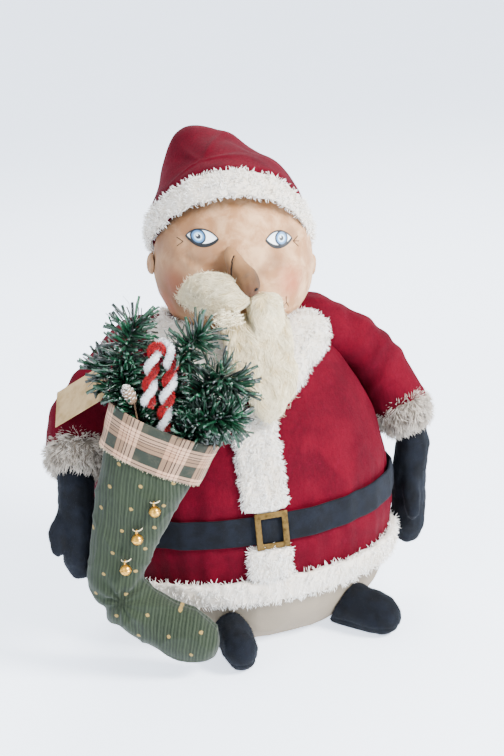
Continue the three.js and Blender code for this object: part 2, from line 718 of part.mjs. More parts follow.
// Sleeves, cuffs and mittens
const SLEEVE_CLEARANCE = 1;
const SWING_STEPS = 6;
const seamPlane = (side) => box(
  at(side < 0 ? -SHOULDER_X : -BODY_WIDTH, -BODY_DEPTH, 0),
  at(side < 0 ? BODY_WIDTH : SHOULDER_X, BODY_DEPTH, 2 * BODY_HEIGHT),
);
const sleeveShape = along([0.96, 1, 1, 1, 0.98]);

// The body as it passes the arm: the left arm swings on its shoulder from back to front
function bodyBeside(side, grow) {
  const body = bodyForm(SLEEVE_CLEARANCE + grow);
  if (side < 0) return body;
  const shoulder = body.translate([0, -SHOULDER_Y, -SHOULDER_Z]);
  const passes = [body];
  for (let i = 0; i <= SWING_STEPS; i += 1) {
    const swing = THREE.MathUtils.mapLinear(i, 0, SWING_STEPS, -ARM_BACK, ARM_FORWARD);
    passes.push(shoulder.rotate([swing, 0, 0]).translate([0, SHOULDER_Y, SHOULDER_Z]));
  }
  return passes.reduce((left, pass) => left.add(pass));
}
function sleeveForm(side, grow) {
  return swept(
    armCurve(side),
    (t) => [SLEEVE_RADIUS * sleeveShape(t), SLEEVE_RADIUS * sleeveShape(t) * 1.04],
    at(0, 0, 1),
    LIMB_SIDES,
    6,
    grow,
  );
}
// A mitten hangs from inside the cuff, with its thumb on the palm's front edge. Its points are
// drawn for a mitten as long as MITTEN_DRAWN and stretch with MITTEN_LONG.
const MITTEN_DRAWN = 104;
const MITTEN_POINTS = {
  left: {
    palm: [[2, -2, -46], [-4, -4, -98], [-7, -4, -120]],
    thumb: [[-2, -16, -58], [-4, -24, -78], [-6, -26, -92]],
  },
  right: {
    palm: [[-6, -18, -47], [-8, -22, -82], [-8, -22, -96]],
    thumb: [[-20, -20, -44], [-26, -28, -58], [-26, -32, -72]],
  },
};
function palmForm(side, grow) {
  const points = MITTEN_POINTS[side < 0 ? 'right' : 'left'];
  const curve = armCurve(side);
  const wrist = curve.getPointAt(1);
  const down = curve.getTangentAt(1);
  const offset = ([x, y, z]) => at(wrist.x + x, wrist.y + y, wrist.z + z * MITTEN_LONG / MITTEN_DRAWN);
  const palmCurve = new THREE.CatmullRomCurve3([
    wrist.clone().addScaledVector(down, -CUFF_TALL * 0.4),
    wrist.clone().addScaledVector(down, CUFF_TALL * 0.55),
    ...points.palm.map(offset),
  ]);
  const size = along([WRIST_RADIUS, WRIST_RADIUS, MITTEN_WIDE, MITTEN_WIDE + 1, MITTEN_WIDE, MITTEN_WIDE - 3]);
  return swept(palmCurve, (t) => {
    const round = roundEnds(t, 0, 0.16);
    return [size(t) * round, Math.min(size(t), MITTEN_THICK + 1) * round];
  }, at(0, 1, 0), 12, 8, grow);
}
function thumbForm(side) {
  const points = MITTEN_POINTS[side < 0 ? 'right' : 'left'];
  const wrist = armCurve(side).getPointAt(1);
  const offset = ([x, y, z]) => at(wrist.x + x, wrist.y + y, wrist.z + z * MITTEN_LONG / MITTEN_DRAWN);
  const thumbRoot = at(wrist.x, wrist.y - 4, wrist.z - 40);
  const thumbCurve = new THREE.CatmullRomCurve3([thumbRoot, ...points.thumb.map(offset)]);
  return swept(thumbCurve, (t) => {
    const round = THUMB_RADIUS * roundEnds(t, 0.2, 0.3);
    return [round, round];
  }, at(1, 0, 0), 8, 5);
}
const mittenForm = (side) => palmForm(side, 0).add(thumbForm(side));

const cuffSize = (t) => CUFF_RADIUS * Math.sqrt(roundEnds(t, 0.5, 0.5));
for (const [name, side] of [['left', 1], ['right', -1]]) {
  const wrist = armCurve(side).getPointAt(1);
  const down = armCurve(side).getTangentAt(1);
  const cuffCurve = new THREE.LineCurve3(
    wrist.clone().addScaledVector(down, -CUFF_TALL * 0.5),
    wrist.clone().addScaledVector(down, CUFF_TALL * 0.5),
  );
  const cuffForm = (grow) => swept(
    cuffCurve,
    (t) => [cuffSize(t) * 0.82, cuffSize(t)],
    at(side, 0, 0),
    LIMB_SIDES,
    6,
    grow,
  );
  const sleeve = cut(sleeveForm(side, 0), bodyBeside(side, 0), seamPlane(side), cuffForm(GAP));
  addPiece(doll, `${name}_sleeve`, cut(sleeve, sleeveForm(side, -SLEEVE_CLOTH)), 'velvet');
  const filling = cut(
    sleeveForm(side, -SLEEVE_CLOTH - GAP),
    bodyBeside(side, SLEEVE_CLOTH + GAP),
    seamPlane(side),
    cuffForm(GAP),
  );
  addPiece(doll, `${name}_arm_stuffing`, filling, 'stuffing');
  const cuff = cut(cuffForm(0), palmForm(side, GAP), bodyForm(BELT_THICK + beltInside + 1));
  addPiece(doll, `${name}_cuff`, cuff, 'fur');
}

// Boots: soft shoes sewn under the hem, the left one turned outwards
const BOOTS = {
  right: { x: -35, y: -80, turn: 2 },
  left: { x: 64, y: -68, turn: 38 },
};
function bootForm(side) {
  const { x, y, turn } = BOOTS[side < 0 ? 'right' : 'left'];
  const curve = new THREE.CatmullRomCurve3([
    at(0, 8, BOOT_TALL * 0.42),
    at(0, -BOOT_LONG * 0.3, BOOT_TALL * 0.4),
    at(0, -BOOT_LONG * 0.7, BOOT_TALL * 0.36),
    at(0, -BOOT_LONG, BOOT_TALL * 0.34),
  ]);
  const tall = along([0.42, 0.42, 0.38, 0.36]);
  const foot = swept(curve, (t) => {
    const round = roundEnds(t, 0, 0.3);
    return [BOOT_WIDE / 2 * (0.9 + 0.1 * t) * round, BOOT_TALL * tall(t) * round];
  }, at(1, 0, 0), 12, 7);
  return foot.rotate([0, 0, turn]).translate([x, y, 0]).intersect(slab(GAP, HEM_BOTTOM - 3));
}

// Stocking, in a frame of its own: x runs across it, -y faces out and z is up
const stocking = new THREE.Group();
stocking.position.set(SOCK_X, SOCK_Y, 0);
stocking.rotation.z = -radians(SOCK_TURN);
stocking.updateMatrix();
doll.add(stocking);
const sockPlace = stocking.matrix.clone();
const sockTop = at(18, 0, 216);
const LEG = [[2, 184], [-13, 153], [-28, 116], [-36, 86], [-35, 64]];
const FOOT = [[-40, 86], [-28, 69], [-8, 53], [18, 37], [40, 23]];

function legForm(grow, extra = 0) {
  const first = at(LEG[0][0], 0, LEG[0][1]);
  const up = sockTop.clone().sub(first).normalize();
  const curve = new THREE.CatmullRomCurve3([
    sockTop.clone().addScaledVector(up, extra),
    ...LEG.map(([x, z]) => at(x, 0, z)),
  ]);
  const wide = along([SOCK_LEG_WIDE / 2 + 2, SOCK_LEG_WIDE / 2 - 1, 31, SOCK_ANKLE_WIDE / 2 + 1, SOCK_ANKLE_WIDE / 2 + 1]);
  const thick = along([0.86, 1, 1, 0.92, 0.9]);
  return swept(curve, (t) => {
    const round = roundEnds(t, 0, 0.16);
    return [wide(t) * round, SOCK_THICK / 2 * thick(t) * round];
  }, at(1, 0, 0), 12, 7, grow);
}

function footForm(grow) {
  const curve = new THREE.CatmullRomCurve3(FOOT.map(([x, z]) => at(x, 0, z)));
  return swept(curve, (t) => {
    const round = roundEnds(t, 0.25, 0.28);
    return [SOCK_FOOT_WIDE / 2 * round, SOCK_THICK / 2 * 0.96 * round];
  }, at(0, 0, 1), 12, 7, grow);
}

const SOCK_OPEN = 4;
const sockSolid = (grow) => legForm(grow).add(footForm(grow));
const sockInside = (grow) => legForm(-SOCK_CLOTH - grow, SOCK_OPEN).add(footForm(-SOCK_CLOTH - grow));
addPiece(stocking, 'stocking_sock', cut(sockSolid(0), sockInside(0)), 'stripe');

// The plaid band folds down round the top of the leg
function bandForm(grow, extra) {
  const first = at(LEG[0][0], 0, LEG[0][1]);
  const up = sockTop.clone().sub(first).normalize();
  const curve = new THREE.CatmullRomCurve3([
    sockTop.clone().addScaledVector(up, extra),
    sockTop.clone().addScaledVector(up, -PLAID_TALL / 2),
    sockTop.clone().addScaledVector(up, -PLAID_TALL - extra),
  ]);
  return swept(curve, (t) => [
    SOCK_LEG_WIDE / 2 + 2 + PLAID_FLARE * (1 - t),
    SOCK_THICK / 2 + PLAID_FLARE * (1 - t) * 0.5,
  ], at(1, 0, 0), 16, 3, grow);
}
const band = cut(bandForm(PLAID_CLOTH, 0), bandForm(0, 3), legForm(GAP, 6));
addPiece(stocking, 'stocking_band', band, 'plaid');

// The stocking needs room beside the right mitten and the right boot
const SOCK_ROOM = 1.3;
const SOCK_BOOT_ROOM = 2.5;
const trimRoom = bodyForm(HEM_FUR + 1);
addPiece(doll, 'left_mitten', cut(mittenForm(1), trimRoom), 'navy');
const besideMitten = [legForm(SOCK_ROOM, 8), footForm(SOCK_ROOM)].map((solid) => placed(solid, sockPlace));
addPiece(doll, 'right_mitten', cut(mittenForm(-1), trimRoom, ...besideMitten), 'navy');
const bootSeam = bodyForm(2 * GAP);
addPiece(doll, 'left_boot', cut(bootForm(1), bootSeam), 'navy');
addPiece(doll, 'right_boot', cut(bootForm(-1), bootSeam, placed(footForm(SOCK_BOOT_ROOM), sockPlace)), 'navy');

// What fills the stocking: a wad of stuffing that holds the wires of the bough, cane and cone
const curveThrough = (points) => new THREE.CatmullRomCurve3(points.map(([x, y, z]) => at(x, y, z)));
function wire(curve, radius, sides, rings, grow = 0) {
  return swept(curve, () => [radius, radius], at(0, 1, 0), sides, rings, grow);
}

// Twigs of pine, each a wire stem from inside the stocking with needles all round it
const TWIGS = [
  { stem: [[6, -3, 190], [-3, -3, 222], [-11, -2, 248], [-7, -2, 274], [2, -2, 294]], bare: 0.34, lean: 0.5 },
  { stem: [[-2, 5, 190], [-5, 5, 222], [-12, 6, 240], [-27, 8, 260]], bare: 0.5, lean: 0.6 },
  { stem: [[12, 6, 190], [18, 3, 224], [26, 0, 252], [38, -2, 272], [52, -4, 284]], bare: 0.3, lean: 0.7 },
  { stem: [[22, 3, 190], [40, 0, 222], [56, -3, 246], [68, -5, 250], [75, -6, 240]], bare: 0.3, lean: 0.8 },
  { stem: [[24, -4, 192], [42, -8, 212], [56, -11, 220], [70, -12, 218]], bare: 0.34, lean: 0.6 },
];
const STEM_SIDES = 4;
const STEM_RINGS = 12;
const stemCurves = TWIGS.map(({ stem }) => curveThrough(stem));
const caneCurve = curveThrough([
  [15, -8, 192],
  [19, -10, 222],
  [29, -13, 262],
  [28, -13, 276],
  [22, -13, 281],
  [16, -13, 270],
  [8, -13, 234],
]);
const coneBase = at(-3, -9, 235);
const coneAxis = at(-0.2, -0.5, 0.84).normalize();
const coneWire = curveThrough([[0, -9, 194], [-2, -9, 216], [coneBase.x, coneBase.y, coneBase.z + 2]]);
const CONE_WIRE = 0.8;

// Paper tag: it hangs by a thread from the second twig and lies along the right sleeve
const TAG_END = 5;
const tagHook = at(-112, -90, 246);
const tagAlong = at(-36, 34, -33).normalize();
const tagLean = at(7, 26, 21);
const tagDown = tagLean.addScaledVector(tagAlong, -tagLean.dot(tagAlong)).normalize().negate();
const tagOut = new THREE.Vector3().crossVectors(tagAlong, tagDown);
const tagPlace = new THREE.Matrix4().makeBasis(tagAlong, tagDown, tagOut).setPosition(tagHook);
const tagSpace = (over, deep) => box(
  at(-TAG_END - over, -TAG_WIDE / 2 - over, -deep),
  at(TAG_LONG - TAG_END + over, TAG_WIDE / 2 + over, deep),
);
const sleeveHere = placed(sleeveForm(-1, 0), tagPlace.clone().invert());
const sleeveTop = sleeveHere.intersect(tagSpace(0, BODY_WIDTH)).boundingBox().max[2];
tagHook.addScaledVector(tagOut, sleeveTop + TAG_THICK / 2 + GAP);
tagAlong.applyAxisAngle(tagDown, -radians(TAG_LIFT));
tagOut.crossVectors(tagAlong, tagDown);
tagPlace.makeBasis(tagAlong, tagDown, tagOut).setPosition(tagHook);
const tagShape = new THREE.Shape([
  new THREE.Vector2(-TAG_END, -TAG_WIDE / 2 + TAG_CLIP),
  new THREE.Vector2(-TAG_END + TAG_CLIP, -TAG_WIDE / 2),
  new THREE.Vector2(TAG_LONG - TAG_END, -TAG_WIDE / 2),
  new THREE.Vector2(TAG_LONG - TAG_END, TAG_WIDE / 2),
  new THREE.Vector2(-TAG_END + TAG_CLIP, TAG_WIDE / 2),
  new THREE.Vector2(-TAG_END, TAG_WIDE / 2 - TAG_CLIP),
]);
tagShape.holes.push(new THREE.Path().absarc(0, 0, TAG_HOLE, 0, 2 * Math.PI, true));
const tagSheet = new THREE.ExtrudeGeometry(tagShape, {
  depth: TAG_THICK,
  bevelEnabled: false,
  curveSegments: 6,
}).translate(0, 0, -TAG_THICK / 2);
const tag = new THREE.Group();
tagPlace.decompose(tag.position, tag.quaternion, tag.scale);
doll.add(tag);
addPiece(tag, 'paper_tag', toSolid(tagSheet), 'paper');

// The thread is a loop through the tag's hole and round the twig
const THREAD_AT = 0.76;
const THREAD_STEPS = 14;
const threadStem = stemCurves[1].getPointAt(THREAD_AT).applyMatrix4(sockPlace);
const threadAlong = threadStem.clone().sub(tagHook);
const threadPast = 2 * STEM_RADIUS + THREAD_RADIUS;
const threadIn = TAG_HOLE - THREAD_RADIUS - GAP;
const threadHalf = (threadAlong.length() + threadPast - threadIn) / 2;
threadAlong.normalize();
const threadAcross = tagOut.clone().addScaledVector(threadAlong, -tagOut.dot(threadAlong)).normalize();
const threadSide = new THREE.Vector3().crossVectors(threadAlong, threadAcross);
const threadMiddle = tagHook.clone().addScaledVector(threadAlong, threadIn + threadHalf);
const threadPlace = new THREE.Matrix4()
  .makeBasis(threadAlong, threadAcross, threadSide)
  .setPosition(threadMiddle);
const threadRing = [];
for (let i = 0; i < THREAD_STEPS; i += 1) {
  const angle = i / THREAD_STEPS * 2 * Math.PI;
  threadRing.push(at(threadHalf * Math.cos(angle), THREAD_WIDE / 2 * Math.sin(angle), 0));
}
function threadLoop(radius) {
  const geometry = new THREE.ExtrudeGeometry(new THREE.Shape().absarc(0, 0, radius, 0, 2 * Math.PI, false), {
    steps: 2 * THREAD_STEPS,
    curveSegments: 2,
    bevelEnabled: false,
    extrudePath: new THREE.CatmullRomCurve3(threadRing, true),
  });
  return placed(toSolid(geometry), threadPlace);
}
addPiece(doll, 'tag_thread', threadLoop(THREAD_RADIUS), 'muslin');

// Needles keep clear of the plaid band, the tag and its thread, the turning head and each other
const NEEDLE_APART = 1.7;
const NEEDLE_FREE = 0.25;
const GOLDEN_TURN = Math.PI * (3 - Math.sqrt(5));
const NEEDLE_HEAD_CLEAR = BEARD_STANDOFF + BEARD_THICK + 4;
const sockReturn = sockPlace.clone().invert();
const needleObstacles = bandForm(PLAID_CLOTH + GAP, 0.5)
  .subtract(legForm(-SOCK_CLOTH - GAP, 8))
  .add(placed(placed(tagSpace(1, 1), tagPlace), sockReturn))
  .add(placed(threadLoop(THREAD_RADIUS + GAP), sockReturn));
const taken = [];
function takeCurve(curve, count, radius, owner) {
  for (let i = 0; i < count; i += 1) {
    taken.push({ a: curve.getPointAt(i / count), b: curve.getPointAt((i + 1) / count), radius, owner });
  }
}
stemCurves.forEach((curve, owner) => takeCurve(curve, STEM_RINGS, STEM_RADIUS, owner));
takeCurve(caneCurve, 14, 2 * CANE_STRAND + CANE_APART, 'cane');
taken.push({
  a: coneBase,
  b: coneBase.clone().addScaledVector(coneAxis, CONE_TALL),
  radius: CONE_RADIUS,
  owner: 'cone',
});

function needle(root, tip, radius) {
  const direction = tip.clone().sub(root);
  const length = direction.length();
  const turn = new THREE.Quaternion().setFromUnitVectors(at(0, 1, 0), direction.normalize());
  const spike = new THREE.CylinderGeometry(0, radius, length, 3, 1);
  return toSolid(spike.translate(0, length / 2, 0).applyQuaternion(turn).translate(root.x, root.y, root.z));
}

function apart(start, end, other) {
  const line = new THREE.Line3(other.a, other.b);
  const found = new THREE.Vector3();
  let nearest = Infinity;
  for (let i = 0; i <= 10; i += 1) {
    const point = start.clone().lerp(end, i / 10);
    line.closestPointToPoint(point, true, found);
    nearest = Math.min(nearest, found.distanceTo(point));
  }
  return nearest - other.radius;
}

function needleFits(root, tip, owner) {
  const world = tip.clone().applyMatrix4(sockPlace);
  if (Math.hypot(world.x - HEAD_X, world.y - HEAD_Y) < NEEDLE_HEAD_CLEAR) return false;
  if (needle(root, tip, 2 * NEEDLE_RADIUS).intersect(needleObstacles).volume() > 0) return false;
  const start = root.clone().lerp(tip, NEEDLE_FREE);
  return taken.every((other) => {
    const ownStem = other.owner === owner && other.radius === STEM_RADIUS;
    return ownStem || apart(start, tip, other) > NEEDLE_APART;
  });
}

function twigSolid(owner) {
  const curve = stemCurves[owner];
  const { bare, lean } = TWIGS[owner];
  const pieces = [wire(curve, STEM_RADIUS, STEM_SIDES, STEM_RINGS)];
  for (let i = 0; i < NEEDLES_PER_TWIG; i += 1) {
    const t = bare + (1 - bare) * (i + 0.5) / NEEDLES_PER_TWIG;
    const root = curve.getPointAt(t);
    const tangent = curve.getTangentAt(t);
    const spoke = at(0, 1, 0).addScaledVector(tangent, -tangent.y).normalize();
    spoke.applyAxisAngle(tangent, i * GOLDEN_TURN);
    const direction = spoke.addScaledVector(tangent, lean + 0.5 * t).normalize();
    const tip = root.clone().addScaledVector(direction, NEEDLE_LONG);
    if (needleFits(root, tip, owner)) {
      pieces.push(needle(root, tip, NEEDLE_RADIUS));
      taken.push({ a: root.clone().lerp(tip, NEEDLE_FREE), b: tip, radius: 0, owner });
    }
  }
  return wasm.Manifold.union(pieces);
}
TWIGS.forEach((twig, owner) => {
  addPiece(stocking, `pine_twig_${owner + 1}`, twigSolid(owner), 'pine');
});

// Candy cane: a red and a white chenille stem twisted together
const CANE_STEPS = 8;
const CANE_SIDES = 5;
const caneOut = CANE_STRAND + CANE_APART;
function caneStrand(name, turn, colour) {
  const length = caneCurve.getLength();
  const steps = Math.round(length / CANE_PITCH * CANE_STEPS);
  const frames = caneCurve.computeFrenetFrames(steps, false);
  const points = [];
  for (let i = 0; i <= steps; i += 1) {
    const angle = turn + i / steps * length / CANE_PITCH * 2 * Math.PI;
    const centre = caneCurve.getPointAt(i / steps);
    centre.addScaledVector(frames.normals[i], caneOut * Math.cos(angle));
    centre.addScaledVector(frames.binormals[i], caneOut * Math.sin(angle));
    points.push(centre);
  }
  const strand = new THREE.CatmullRomCurve3(points);
  const outline = new THREE.Shape();
  for (let i = 0; i < CANE_SIDES; i += 1) {
    const angle = i / CANE_SIDES * 2 * Math.PI;
    const move = i === 0 ? 'moveTo' : 'lineTo';
    outline[move](CANE_STRAND * Math.cos(angle), CANE_STRAND * Math.sin(angle));
  }
  const rope = new THREE.ExtrudeGeometry(outline, { steps, bevelEnabled: false, extrudePath: strand });
  addPiece(stocking, name, toSolid(rope), colour);
  const rest = strand.getSpacedPoints(4 * steps);
  const apartAlong = Math.ceil(4 * CANE_STRAND / (strand.getLength() / rest.length));
  let least = Infinity;
  rest.forEach((point, i) => {
    rest.slice(i + apartAlong).forEach((other) => {
      least = Math.min(least, point.distanceTo(other) - 2 * CANE_STRAND);
    });
  });
  console.log(`${name}: least gap to itself ${least.toFixed(2)} mm`);
}
caneStrand('cane_red_stem', 0, 'red');
caneStrand('cane_white_stem', Math.PI, 'white');

// A small pine cone on a wire of its own
function coneSolid() {
  const rows = 4;
  const profile = [new THREE.Vector2(0, 0)];
  for (let row = 0; row < rows; row += 1) {
    const low = row / rows;
    const wide = CONE_RADIUS * Math.sqrt(1 - (low * 0.9) ** 2);
    profile.push(new THREE.Vector2(wide * 0.6, CONE_TALL * low + 0.5));
    profile.push(new THREE.Vector2(wide, CONE_TALL * (low + 0.7 / rows)));
  }
  profile.push(new THREE.Vector2(0, CONE_TALL));
  const turn = new THREE.Quaternion().setFromUnitVectors(at(0, 1, 0), coneAxis);
  const scales = new THREE.LatheGeometry(profile, 9).applyQuaternion(turn);
  return toSolid(scales.translate(coneBase.x, coneBase.y, coneBase.z)).add(wire(coneWire, CONE_WIRE, 5, 4));
}
addPiece(stocking, 'pine_cone', coneSolid(), 'cone');

const fillingTop = sockTop.z - 14;
function wireRoom(curve, radius, sides) {
  const start = curve.getPointAt(0);
  const ahead = curve.getPointAt(0.15).sub(start).normalize();
  const end = start.clone().addScaledVector(ahead, 2 * PLAID_TALL);
  start.addScaledVector(ahead, -radius / 2);
  return wire(new THREE.LineCurve3(start, end), radius, sides, 1);
}
const sockFilling = cut(
  sockInside(GAP).intersect(box(at(-100, -50, 0), at(100, 50, fillingTop))),
  ...stemCurves.map((curve) => wireRoom(curve, STEM_RADIUS + 2 * GAP, STEM_SIDES)),
  wireRoom(caneCurve, 2 * CANE_STRAND + CANE_APART + 3 * GAP, 8),
  wireRoom(coneWire, CONE_WIRE + 2 * GAP, 5),
);
addPiece(stocking, 'stocking_filling', sockFilling, 'stuffing');

// Bells: thin brass balls with a slot and a wire eye, hung down the instep seam
const BELLS = [
  { x: 6, z: 151 },
  { x: -10, z: 129 },
  { x: -22, z: 104 },
];
const BELL_STANDOFF = 0.3;
const STITCH_SIDES = 4;
function sockSurface(x, z) {
  const here = box(at(x - 3, -SOCK_THICK, z - 6), at(x + 3, 0, z + 6));
  return sockSolid(0).intersect(here).boundingBox().min[1];
}
function bellSolid(centre) {
  const inner = BELL_RADIUS - BELL_WALL;
  const ball = ellipsoid(centre, BELL_RADIUS, BELL_RADIUS, BELL_RADIUS, 8, 6);
  const inside = ellipsoid(centre, inner, inner, inner, 8, 6);
  const half = BELL_SLOT / 2;
  const slot = box(
    at(centre.x - BELL_RADIUS, centre.y - half, centre.z - 2 * BELL_RADIUS),
    at(centre.x + BELL_RADIUS, centre.y + half, centre.z),
  );
  const eye = toSolid(
    new THREE.TorusGeometry(BELL_EYE, BELL_WIRE, 4, 7)
      .rotateY(Math.PI / 2)
      .translate(centre.x, centre.y, centre.z + BELL_RADIUS + BELL_EYE - BELL_WIRE),
  );
  return cut(ball, inside, slot).add(cut(eye, inside));
}
BELLS.forEach(({ x, z }, i) => {
  const surface = sockSurface(x, z);
  const centre = at(x, surface - BELL_RADIUS - BELL_STANDOFF, z);
  addPiece(stocking, `bell_${i + 1}`, bellSolid(centre), 'gold');
  const rest = at(centre.x, centre.y, centre.z - BELL_RADIUS + BELL_WALL + PEA_RADIUS + 0.6);
  addPiece(stocking, `bell_pea_${i + 1}`, ellipsoid(rest, PEA_RADIUS, PEA_RADIUS, PEA_RADIUS, 6, 4), 'steel');

  // The stitch is a thread that comes out of the cloth, through the bell's eye and back
  const eyeZ = centre.z + BELL_RADIUS + BELL_EYE - BELL_WIRE;
  const stitchZ = eyeZ + BELL_EYE - BELL_WIRE - THREAD_RADIUS - GAP;
  const stitch = toSolid(
    new THREE.TorusGeometry(surface - centre.y, THREAD_RADIUS, STITCH_SIDES, 12)
      .scale(0.7, 1, 1)
      .translate(x, surface, stitchZ),
  );
  addPiece(stocking, `bell_stitch_${i + 1}`, cut(stitch, sockSolid(GAP)), 'muslin');
});

export default doll;
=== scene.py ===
"""The looks of a stuffed, sitting Santa doll with a striped stocking sewn to its right mitten.

Lengths are in millimetres, and a Vector that is a point is in metres, unless a docstring says otherwise.
"""

from __future__ import annotations

import logging
import math
import random
from dataclasses import dataclass, replace
from enum import Enum
from typing import Callable, Sequence, TypeVar

import bmesh
import bpy
from bmesh.types import BMesh, BMVert
from mathutils import Matrix, Vector, noise
from mathutils.bvhtree import BVHTree
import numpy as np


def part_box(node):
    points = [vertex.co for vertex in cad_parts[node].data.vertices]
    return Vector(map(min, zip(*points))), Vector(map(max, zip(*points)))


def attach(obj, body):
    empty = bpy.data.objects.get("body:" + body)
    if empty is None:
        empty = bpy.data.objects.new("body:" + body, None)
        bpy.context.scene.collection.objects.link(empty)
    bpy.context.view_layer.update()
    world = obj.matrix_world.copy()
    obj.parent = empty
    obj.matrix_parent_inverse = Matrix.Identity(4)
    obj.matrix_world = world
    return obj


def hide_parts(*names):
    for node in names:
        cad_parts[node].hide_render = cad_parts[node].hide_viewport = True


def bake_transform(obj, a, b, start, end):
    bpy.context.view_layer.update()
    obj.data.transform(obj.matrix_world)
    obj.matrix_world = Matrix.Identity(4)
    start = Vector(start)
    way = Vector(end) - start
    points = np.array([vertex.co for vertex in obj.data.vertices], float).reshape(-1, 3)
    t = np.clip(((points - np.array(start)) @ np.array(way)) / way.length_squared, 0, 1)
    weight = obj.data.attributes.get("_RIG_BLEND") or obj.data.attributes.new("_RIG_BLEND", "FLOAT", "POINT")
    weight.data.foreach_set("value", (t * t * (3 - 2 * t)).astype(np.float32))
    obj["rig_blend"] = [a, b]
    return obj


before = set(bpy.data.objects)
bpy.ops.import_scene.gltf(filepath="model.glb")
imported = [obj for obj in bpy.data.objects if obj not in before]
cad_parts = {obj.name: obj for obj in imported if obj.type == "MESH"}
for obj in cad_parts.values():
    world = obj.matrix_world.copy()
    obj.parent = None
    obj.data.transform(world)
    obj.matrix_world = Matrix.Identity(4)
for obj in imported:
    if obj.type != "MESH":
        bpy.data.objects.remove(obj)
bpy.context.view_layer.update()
noise.seed_set(1)  # unseeded, noise_vector starts from the clock and the fibres differ each run

MM = 0.001
SCRAP = 0.15  # an island with a smaller share of the largest one's points is a scrap
GOLDEN_ANGLE = math.pi * (3 - math.sqrt(5))
LOG = logging.getLogger("doll")

# The head's, the hat ring's and the stocking's own frames, as the frame has them
HEAD_PLACE = Matrix.Translation(Vector((12, -2, 309)) * MM) @ Matrix.Rotation(math.radians(8), 4, "Y")
BRIM_PLACE = (
    HEAD_PLACE
    @ Matrix.Translation(Vector((0, 0, 32)) * MM)
    @ Matrix.Rotation(math.radians(-35), 4, "X")
    @ Matrix.Translation(Vector((0, 12, 0)) * MM)
)
SOCK_PLACE = Matrix.Translation(Vector((-90, -115, 0)) * MM) @ Matrix.Rotation(math.radians(-18), 4, "Z")

# The painted eyes, which the head shapes and two finishes colour
EYE_HALF_WIDE = 12.2
EYE_HALF_TALL = 6.9
IRIS_RADIUS = 5.7

Point = tuple[float, float, float]
Value = TypeVar("Value", float, Vector)
Pair = tuple[float, float]
Comb = Callable[[Vector, Vector], Vector]
Shift = Callable[[Vector, Vector], float]
Size = Callable[[float], Pair]


class Side(Enum):
    """The doll's own left or right."""

    LEFT = "left"
    RIGHT = "right"

    @property
    def sign(self) -> int:
        """One on the doll's left, where x is positive, and minus one on its right."""
        return 1 if self is Side.LEFT else -1


# Shader maths


def colour(code: str) -> tuple[float, float, float, float]:
    """The linear colour of a hexadecimal sRGB code.

    Args:
        code: six hexadecimal digits.

    Returns:
        Red, green, blue and one.
    """
    channels = [int(code[i:i + 2], 16) / 255 for i in (0, 2, 4)]
    linear = [c / 12.92 if c <= 0.04045 else ((c + 0.055) / 1.055) ** 2.4 for c in channels]
    return linear[0], linear[1], linear[2], 1.0


class Wire:
    """A socket of a material's tree that takes part in arithmetic."""

    def __init__(self, paint: Paint, socket: bpy.types.NodeSocket) -> None:
        """Keeps the socket and the paint that it belongs to."""
        self.paint = paint
        self.socket = socket

    def __add__(self, other: Wire | float) -> Wire:
        """The sum."""
        return self.paint.math("ADD", self, other)

    __radd__ = __add__

    def __sub__(self, other: Wire | float) -> Wire:
        """The difference."""
        return self.paint.math("SUBTRACT", self, other)

    def __rsub__(self, other: float) -> Wire:
        """The difference from a plain number."""
        return self.paint.math("SUBTRACT", other, self)

    def __mul__(self, other: Wire | float) -> Wire:
        """The product."""
        return self.paint.math("MULTIPLY", self, other)

    __rmul__ = __mul__

    def __truediv__(self, other: Wire | float) -> Wire:
        """The quotient."""
        return self.paint.math("DIVIDE", self, other)

    def __pow__(self, other: float) -> Wire:
        """The power."""
        return self.paint.math("POWER", self, other)


